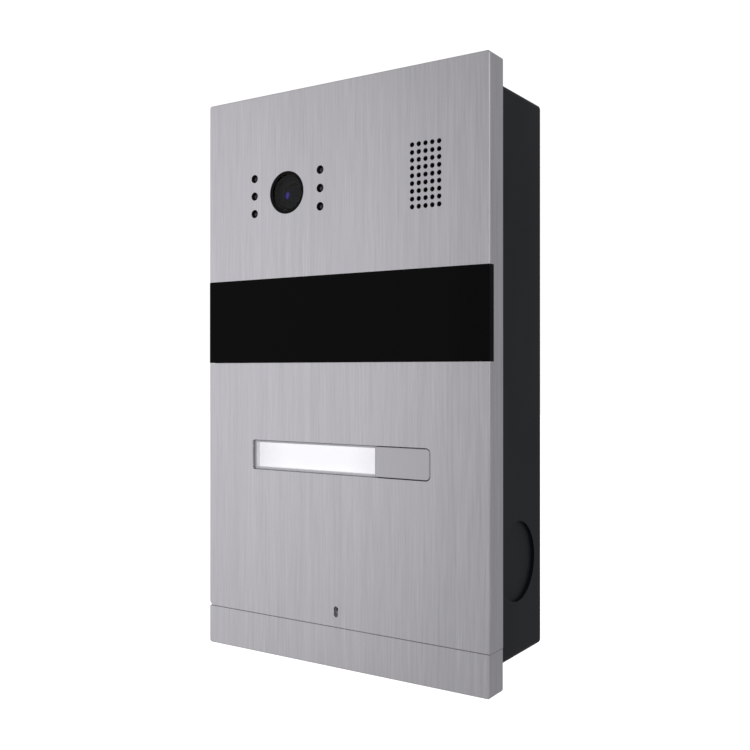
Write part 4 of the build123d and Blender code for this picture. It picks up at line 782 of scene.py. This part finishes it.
def led_pieces():
    """The infrared lights: a smoky dome over a reflector cup and a die, and two legs behind."""
    domes, cups, dies, legs = Build(), Build(), Build(), Build()
    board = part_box("ir_board")[0].y
    flange, thick, cup_depth, arc = FRONT_Y + 5.0 * MM, 0.9 * MM, 1.9 * MM, 8
    for low, high in solids("ir_leds"):
        mid, flange_r = centred(low, high)
        r, tip = flange_r - 0.4 * MM, low.y
        rows = [(0, tip)]
        for i in range(1, arc + 1):
            turn = math.pi / 2 * i / arc
            rows.append((r * math.sin(turn), tip + r * (1 - math.cos(turn))))
        rows += [
            (r, flange), (flange_r - 0.1 * MM, flange), (flange_r, flange + 0.1 * MM),
            (flange_r, flange + 0.8 * MM), (flange_r - 0.1 * MM, flange + thick), (0, flange + thick),
        ]
        domes.turned(mid, rows, 32)
        cup = tip + cup_depth
        cups.turned(mid, [
            (0, cup + 0.7 * MM), (0.30 * r, cup + 0.7 * MM), (0.72 * r, cup), (0.80 * r, cup),
            (0.80 * r, cup + 1.0 * MM), (0, cup + 1.0 * MM),
        ], 32)
        dies.around(mid.x, cup + 0.65 * MM, mid.z, 0.2 * MM, 0.1 * MM, 0.2 * MM, 0.03 * MM)
        for side in (-1, 1):
            legs.around(
                mid.x + side * 0.75 * MM, (flange + thick + board) / 2, mid.z,
                0.2 * MM, (board - flange - thick) / 2, 0.2 * MM, 0.04 * MM,
            )
    piece("led_domes", domes, "ir_leds", SMOKY_DOME)
    detail("led_cups", cups, "ir_leds", "magnet")
    detail("led_dies", dies, "ir_leds", "sensor")
    detail("led_legs", legs, "ir_leds", "screw_steel")


# Speaker and microphone -----------------------------------

def speaker_pieces():
    """The speaker's film with a rolled surround and a dome, and its magnet in a steel cup."""
    low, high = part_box("speaker_cone")
    mid = middle(low, high)
    r, front, film = (high.x - low.x) / 2, low.y, 0.12 * MM
    roll, rise, dome_r, dome_foot, dome = 1.2 * MM, 0.25 * MM, 0.30 * r, front + 2.2 * MM, 1.0 * MM
    surface = [(r, front + 0.25 * MM)]
    for i in range(1, 9):
        turn = math.pi * i / 8
        surface.append((r - roll * (1 - math.cos(turn)), front + 0.3 * MM - rise * math.sin(turn)))
    surface += [(0.55 * r, front + 1.5 * MM), (dome_r, dome_foot)]
    for i in range(1, 7):
        turn = math.pi / 2 * i / 6
        surface.append((dome_r * math.cos(turn), dome_foot - dome * math.sin(turn)))
    surface[-1] = (0, surface[-1][1])
    cone = Build()
    cone.turned(mid, surface[::-1] + [(wide, y + film) for wide, y in surface], 72)
    piece("speaker_film", cone, "speaker_cone", sharp=60)

    low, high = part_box("speaker_magnet")
    r = (high.x - low.x) / 2
    y0, y1 = low.y, high.y
    magnet = Build()
    magnet.turned(mid, [
        (0, y0), (r, y0), (r, y0 + 1.0 * MM), (0.93 * r, y0 + 1.05 * MM), (0.93 * r, y1 - 1.25 * MM),
        (0.98 * r, y1 - 1.2 * MM), (0.98 * r, y1 - 0.3 * MM), (0.94 * r, y1), (0.3 * r, y1),
        (0.27 * r, y1 - 0.3 * MM), (0, y1 - 0.3 * MM),
    ], 72)
    piece("magnet_and_cup", magnet, "speaker_magnet")


def microphone_pieces():
    """The microphone's rolled can and its felt front."""
    low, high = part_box("microphone")
    mid = middle(low, high)
    r, y0, y1 = (high.x - low.x) / 2, low.y, high.y
    can = Build()
    can.turned(mid, [
        (0.72 * r, y0 + 0.12 * MM), (0.76 * r, y0), (0.94 * r, y0), (r, y0 + 0.12 * MM), (r, y0 + 0.7 * MM),
        (0.94 * r, y0 + 0.74 * MM), (0.94 * r, y0 + 0.88 * MM), (r, y0 + 0.92 * MM), (r, y1 - 0.1 * MM),
        (0.95 * r, y1), (0.8 * r, y1), (0.8 * r, y1 - 0.15 * MM), (0.3 * r, y1 - 0.15 * MM),
        (0.3 * r, y0 + 0.12 * MM),
    ], 48)
    piece("microphone_can", can, "microphone")
    felt = Build()
    felt.turned(mid, [
        (0, y0 + 0.06 * MM), (0.72 * r, y0 + 0.08 * MM), (0.72 * r, y0 + 0.2 * MM), (0, y0 + 0.2 * MM),
    ])
    detail("microphone_felt", felt, "microphone", "seal_foam")


# Electronics ----------------------------------------------

def chip_pieces():
    """The chips: bodies with a pin mark, and bent legs on all four sides."""
    bodies, marks, legs = Build(), Build(), Build()
    pitch, half_leg = 0.65, 0.13 * MM
    for low, high in solids("chips"):
        mid, half = centred(low, high)
        bodies.block((low.x, low.y + 0.15 * MM, low.z), high, 0.12 * MM)
        corner = half - 0.9 * MM
        marks.turned((mid.x - corner, 0, mid.z + corner), [
            (0, high.y + 0.01 * MM), (0.4 * MM, high.y + 0.01 * MM), (0.4 * MM, high.y - 0.1 * MM),
            (0, high.y - 0.1 * MM),
        ], 24)
        count = int((2 * half - 0.8 * MM) / (pitch * MM))
        waist = (low.y + high.y) / 2
        for i in range(count):
            along = (i - (count - 1) / 2) * pitch * MM
            for a, b in ((1, 0), (-1, 0), (0, 1), (0, -1)):
                out, foot = half + 0.2 * MM, half + 0.55 * MM
                for reach, y0, y1, deep in ((out, waist - 0.08 * MM, waist + 0.08 * MM, 0.25),
                                            (foot - 0.2 * MM, low.y, waist + 0.08 * MM, 0.08),
                                            (foot, low.y, low.y + 0.15 * MM, 0.22)):
                    x = mid.x + a * reach + abs(b) * along
                    z = mid.z + b * reach + abs(a) * along
                    half_x = deep * MM if a else half_leg
                    half_z = deep * MM if b else half_leg
                    legs.block((x - half_x, y0, z - half_z), (x + half_x, y1, z + half_z))
    piece("chip_bodies", bodies, "chips")
    detail("chip_marks", marks, "chips", "mesh_black")
    detail("chip_legs", legs, "chips", "screw_steel")


def capacitor_pieces():
    """The capacitors: a crimped sleeve, an aluminium top with a vent, and a rubber foot."""
    sleeves, tops, vents, rubber = Build(), Build(), Build(), Build()
    for low, high in solids("capacitors"):
        mid = middle(low, high)
        r, y0, y1 = (high.x - low.x) / 2, low.y, high.y
        sleeves.turned(mid, [
            (0.80 * r, y0 + 0.3 * MM), (0.98 * r, y0 + 0.35 * MM), (r, y0 + 0.6 * MM),
            (r, y0 + 1.2 * MM), (0.93 * r, y0 + 1.45 * MM), (0.93 * r, y0 + 1.6 * MM),
            (r, y0 + 1.85 * MM), (r, y1 - 0.35 * MM), (0.93 * r, y1 - 0.05 * MM), (0.82 * r, y1),
            (0.80 * r, y1 - 0.1 * MM),
        ], 48)
        tops.turned(mid, [
            (0, y1 - 0.06 * MM), (0.80 * r, y1 - 0.06 * MM), (0.84 * r, y1 - 0.2 * MM),
            (0.84 * r, y1 - 0.6 * MM), (0, y1 - 0.6 * MM),
        ], 48)
        vents.cross(mid, y1 - 0.22 * MM, y1 + 0.1 * MM, 0.62 * r, 0.045 * r)
        rubber.turned(mid, [
            (0, y0), (0.75 * r, y0), (0.80 * r, y0 + 0.1 * MM), (0.80 * r, y0 + 0.5 * MM), (0, y0 + 0.5 * MM),
        ], 32)
    piece("capacitor_sleeves", sleeves, "capacitors", sharp=50)
    made = carve(tops, vents, "capacitor_tops")
    detail("capacitor_tops", made, "capacitors", "magnet")
    detail("capacitor_feet", rubber, "capacitors", "silicone")


def relay_piece():
    """The relay: a moulded case on a base, with a vent nib in one corner."""
    low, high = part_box("relay")
    case = Build()
    step, inset, nib = low.y + 1.1 * MM, 0.18 * MM, 1.8 * MM
    case.block(low, (high.x, step, high.z), 0.15 * MM)
    case.block(
        (low.x + inset, step - 0.2 * MM, low.z + inset), (high.x - inset, high.y, high.z - inset),
        0.5 * MM, segments=4,
    )
    case.turned((high.x - nib, 0, high.z - nib), [
        (0, high.y + 0.25 * MM), (0.45 * MM, high.y + 0.2 * MM), (0.6 * MM, high.y),
        (0.6 * MM, high.y - 0.3 * MM), (0, high.y - 0.3 * MM),
    ], 24)
    piece("relay_case", case, "relay")


def switch_pieces():
    """The push switch: a base, a pressed steel cover with four rivets, and bent legs."""
    low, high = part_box("switch_body")
    mid = middle(low, high)
    base, bore, bore_r, hole_r = Build(), Build(), 1.78 * MM, 1.85 * MM
    base.block((low.x, low.y + 0.35 * MM, low.z), high, 0.12 * MM)
    front, end = low.y - MM, high.y - 0.6 * MM
    bore.turned(mid, [(0, front), (bore_r, front), (bore_r, end), (0, end)])
    piece("switch_base", carve(base, bore, "switch_base"), "switch_body")
    cover, hole, end = Build(), Build(), low.y + MM
    cover.block(low, (high.x, low.y + 0.4 * MM, high.z), 0.06 * MM)
    hole.turned(mid, [(0, front), (hole_r, front), (hole_r, end), (0, end)])
    made = carve(cover, hole, "switch_cover")
    detail("switch_cover", made, "switch_body", "screw_steel")
    rivets, legs, reach = Build(), Build(), 2.25
    for i in (-1, 1):
        for j in (-1, 1):
            z = mid.z + j * reach * MM
            rivets.turned((mid.x + i * reach * MM, 0, z), [
                (0, low.y - 0.08 * MM), (0.3 * MM, low.y - 0.06 * MM), (0.42 * MM, low.y + 0.02 * MM),
                (0.42 * MM, low.y + 0.1 * MM), (0, low.y + 0.1 * MM),
            ], 20)
            legs.around(mid.x + i * 3.3 * MM, high.y - 0.4 * MM, z, 0.35 * MM, 0.1 * MM, 0.3 * MM)
            legs.around(mid.x + i * 3.6 * MM, high.y - 0.2 * MM, z, 0.08 * MM, 0.2 * MM, 0.3 * MM)
    detail("switch_rivets", rivets, "switch_body", "chip_black")
    detail("switch_legs", legs, "switch_body", "screw_steel")


def spring_piece():
    """The call button's two coil springs."""
    wire, turns = 0.15 * MM, 6
    coils = Build()
    for low, high in solids("button_springs"):
        mid = middle(low, high)
        coils.coil(mid, low.y, high.y, (high.z - low.z) / 2 - wire, wire, turns)
    made = piece("button_coils", coils, "button_springs", sharp=60)
    low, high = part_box("button_springs")
    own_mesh(made)


def backlight_pieces():
    """The white lights behind the name: a reflector frame, a phosphor window and a solder pad at each end."""
    frames, wells, windows, pads = Build(), Build(), Build(), Build()
    for low, high in solids("backlight_leds"):
        mid = middle(low, high)
        frames.block(low, high, 0.08 * MM)
        wells.turned(mid, [
            (0, low.y - MM), (1.15 * MM, low.y - MM), (1.15 * MM, low.y),
            (0.95 * MM, low.y + 0.5 * MM), (0, low.y + 0.5 * MM),
        ], 40)
        windows.turned(mid, [
            (0, low.y + 0.05 * MM), (1.10 * MM, low.y + 0.08 * MM), (0.96 * MM, low.y + 0.5 * MM),
            (0, low.y + 0.5 * MM),
        ], 40)
        for side in (-1, 1):
            x = mid.x + side * 1.8 * MM
            pads.around(x, high.y - 0.2 * MM, mid.z, 0.2 * MM, 0.2 * MM, 0.9 * MM, 0.06 * MM)
    made = carve(frames, wells, "backlight_frames")
    piece("backlight_frames", made, "backlight_leds", MATERIALS["white_moulding"])
    detail("backlight_windows", windows, "backlight_leds", "led_white")
    detail("backlight_pads", pads, "backlight_leds", "screw_steel")


def socket_pieces():
    """The lead sockets: a shroud with two latch windows, and a plug in its mouth."""
    shrouds, cavities, plugs, pins = Build(), Build(), Build(), Build()
    wall, gap = 0.6 * MM, 0.08 * MM
    for low, high in solids("lead_sockets"):
        mid = middle(low, high)
        side = 1 if mid.z > 0 else -1
        mouth, tail = (high.z, low.z) if side > 0 else (low.z, high.z)
        shrouds.block(low, high, 0.15 * MM)
        inner, outer = sorted((mouth - side * 2.6 * MM, mouth + side * 0.5 * MM))
        cavities.block((low.x + wall, low.y + wall, inner), (high.x - wall, high.y - wall, outer))
        inner, outer = sorted((mouth - side * 2.5 * MM, mouth - side * 0.02 * MM))
        plugs.block(
            (low.x + wall + gap, low.y + wall + gap, inner),
            (high.x - wall - gap, high.y - wall - gap, outer), 0.12 * MM,
        )
        for way in (-1, 1):
            x, half = mid.x + way * 1.3 * MM, 0.5 * MM
            cavities.block(
                (x - half, low.y - MM, mid.z - 0.8 * MM), (x + half, low.y + 0.3 * MM, mid.z + half)
            )
            pins.around(x, high.y - 0.15 * MM, tail, 0.3 * MM, 0.15 * MM, half, 0.05 * MM)
    made = carve(shrouds, cavities, "socket_shrouds")
    piece("socket_shrouds", made, "lead_sockets")
    piece("socket_plugs", plugs, "lead_sockets", stands_for=False)
    detail("socket_pins", pins, "lead_sockets", "screw_steel")


def solder_pieces():
    """Solder fillets where the terminals and the relay come through the main board."""
    front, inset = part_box("main_board")[0].y, 2 * MM
    places = [middle(*b) for b in solids("terminal_screws")]
    low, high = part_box("relay")
    for z in (low.z + inset, high.z - inset):
        places += [(low.x + inset, 0, z), (high.x - inset, 0, z)]
    fillets = Build()
    for place in places:
        fillets.turned(place, [
            (0, front - 1.1 * MM), (0.3 * MM, front - 1.05 * MM), (0.4 * MM, front - 0.6 * MM),
            (0.7 * MM, front - 0.2 * MM), (1.1 * MM, front - 0.02 * MM), (1.1 * MM, front), (0, front),
        ], 24)
    detail("solder_fillets", fillets, "main_board", "magnet")


# Each board's surface-mounted parts: how full it is, and the nodes they keep clear of
CROWDED = {
    "main_board": (0.34, ("chips", "capacitors", "relay", "terminal_block", "board_screws")),
    "camera_board": (0.45, ("camera_screws",)),
    "ir_board": (0.30, ("ir_leds", "lens_barrel")),
    "switch_board": (0.16, ()),
}


def passive_pieces():
    """Small parts soldered to the backs of the boards, in loose rows."""
    chance = random.Random(11)
    step, border, edge = 3.1 * MM, 2.0 * MM, 0.05 * MM
    long, wide, deep, end_at, half_end = 0.62 * MM, 0.42 * MM, 0.24 * MM, 0.72 * MM, 0.17 * MM
    wider, deeper = wide * 1.06, deep * 1.06
    for board, (crowd, near) in CROWDED.items():
        parts = {"brown": Build(), "black": Build(), "ends": Build()}
        margin = Vector((1.6, 9.0, 1.6)) * MM
        taken = [(b[0] - margin, b[1] + margin) for node in near for b in solids(node)]
        low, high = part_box(board)
        if board == "camera_board":
            mid, half = middle(low, high), 7.0 * MM
            low = Vector((mid.x - half, low.y, mid.z - half))
            high = Vector((mid.x + half, high.y, mid.z + half))
        for i in range(int((high.x - low.x - border) / step)):
            for j in range(int((high.z - low.z - border) / step)):
                x, z = low.x + border + i * step, low.z + border + j * step
                if any(a.x < x < b.x and a.z < z < b.z for a, b in taken) or chance.random() > crowd:
                    continue
                upright = chance.random() < 0.5
                kind = chance.choice(("brown", "black"))
                half_x, half_z = (wide, long) if upright else (long, wide)
                parts[kind].around(x, high.y + deep, z, half_x, deep, half_z, edge)
                end_x, end_z = (wider, half_end) if upright else (half_end, wider)
                for at in (-end_at, end_at):
                    cap_x, cap_z = (x, z + at) if upright else (x + at, z)
                    parts["ends"].around(cap_x, high.y + deep, cap_z, end_x, deeper, end_z, edge)
        made_of = {"brown": PASSIVE_BROWN, "black": MATERIALS["chip_black"], "ends": MATERIALS["screw_steel"]}
        for kind, build in parts.items():
            if len(build.bm.verts):
                piece(f"{board}_{kind}", build, board, made_of[kind], stands_for=False)


def reader_chip_piece():
    """The reader's chip, with its legs, over the raised part of its board."""
    mesh = NODES["reader_board"].data
    low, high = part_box("reader_board")
    raised = [v.co for v in mesh.vertices if v.co.y > high.y - 0.2 * MM]
    x0, x1 = min(c.x for c in raised), max(c.x for c in raised)
    z0, z1 = min(c.z for c in raised), max(c.z for c in raised)
    body, legs = Build(), Build()
    base, skin, pitch, half_leg, thin = high.y - 1.0 * MM, 0.06 * MM, 0.8, 0.14 * MM, 0.08 * MM
    body.block((x0 - skin, base, z0 - skin), (x1 + skin, high.y + skin, z1 + skin), 0.1 * MM)
    count = int((x1 - x0) / (pitch * MM)) - 1
    for i in range(count):
        x = (x0 + x1) / 2 + (i - (count - 1) / 2) * pitch * MM
        for z, way in ((z0, -1), (z1, 1)):
            legs.around(x, base + 0.35 * MM, z + way * 0.25 * MM, half_leg, thin, 0.3 * MM)
            legs.around(x, base + 0.1 * MM, z + way * 0.5 * MM, half_leg, 0.3 * MM, thin)
            legs.around(x, base - 0.12 * MM, z + way * 0.7 * MM, half_leg, thin, 0.25 * MM)
    detail("reader_chip", body, "reader_board", "chip_black")
    detail("reader_chip_legs", legs, "reader_board", "screw_steel")


screw_pieces()
terminal_screw_piece()
insert_piece()
camera_pieces()
led_pieces()
speaker_pieces()
microphone_pieces()
chip_pieces()
capacitor_pieces()
relay_piece()
switch_pieces()
spring_piece()
backlight_pieces()
socket_pieces()
solder_pieces()
passive_pieces()
reader_chip_piece()


# Studio ---------------------------------------------------

AIM = (0, -0.03, 0)
# Each light's place, its width and height in metres, and its power in watts
LIGHTS = {
    "key": ((-0.80, -0.87, 0.03), (0.75, 1.1), 1.66),
    "fill": ((0.95, -0.46, 0.30), (0.35, 0.9), 0.95),
    "edge": ((0.60, 0.80, 0.20), (0.6, 0.9), 0.04),
}


def studio_world():
    """A soft grey surround, brighter to the left and above, with plain white in view."""
    world = bpy.data.worlds.new("studio")
    bpy.context.scene.world = world
    world.use_nodes = True
    world.node_tree.nodes.clear()
    t = Tree(world.node_tree)
    split = t.node("ShaderNodeSeparateXYZ")
    t.link(t.node("ShaderNodeTexCoord").outputs["Generated"], split.inputs["Vector"])
    across = t.span(split.outputs["X"], 0.565, 0.42, -0.95, 0.75)
    upward = t.span(split.outputs["Z"], 0.91, 1.01, -0.6, 0.7)
    surround, plain = t.node("ShaderNodeBackground"), t.node("ShaderNodeBackground")
    t.link(t.math("MULTIPLY", across, upward), surround.inputs["Strength"])
    surround.inputs["Color"].default_value = (1.0, 0.99, 1.01, 1.0)
    plain.inputs["Color"].default_value = grey(1.0)
    plain.inputs["Strength"].default_value = 1.05
    in_view = t.node("ShaderNodeLightPath").outputs["Is Camera Ray"]
    both = t.blend(in_view, surround.outputs["Background"], plain.outputs["Background"])
    t.link(both, t.node("ShaderNodeOutputWorld").inputs["Surface"])


def floor():
    """A wide pale floor, well below the panel, that neither lights it nor shows in it."""
    radius, height = 9.0, -0.42
    mesh = bpy.data.meshes.new("floor")
    build = bmesh.new()
    bmesh.ops.create_circle(build, cap_ends=True, segments=96, radius=radius)
    build.to_mesh(mesh)
    build.free()
    made = added("floor", mesh)
    made.location = (0, 0, height)
    made.visible_diffuse = False
    made.visible_glossy = False
    g = Graph("floor")
    g.set(
        Base_Color=g.mix(g.span(g.noise(6, 3.0, 0.5), 0.0, 1.0), grey(0.93), grey(0.95)), Roughness=0.9,
        Emission_Color=grey(1.0), Emission_Strength=0.75,
    )
    mesh.materials.append(g.material)


def area_light(name, place, size, power):
    """A soft rectangular light, turned towards the panel."""
    data = bpy.data.lights.new(name, "AREA")
    data.shape = "RECTANGLE"
    data.size, data.size_y = size
    data.energy = power
    lamp = added(name, data)
    lamp.location = place
    lamp.rotation_euler = (Vector(AIM) - Vector(place)).to_track_quat("-Z", "Y").to_euler()


def camera():
    """A view from the front right, level with the panel's middle."""
    data = bpy.data.cameras.new("camera")
    data.lens = 45.74
    data.sensor_width = 36.0
    data.shift_y = -0.00575
    data.clip_start = 0.01
    made = added("camera", data)
    made.location = (0.20376, FRONT_Y - 0.28369, 0.0010)
    made.rotation_euler = (math.radians(90 + 0.05), 0, math.radians(33.34))
    bpy.context.scene.camera = made


studio_world()
floor()
for name, (place, size, power) in LIGHTS.items():
    area_light(name, place, size, power)
camera()
bpy.context.scene.view_settings.view_transform = "Standard"
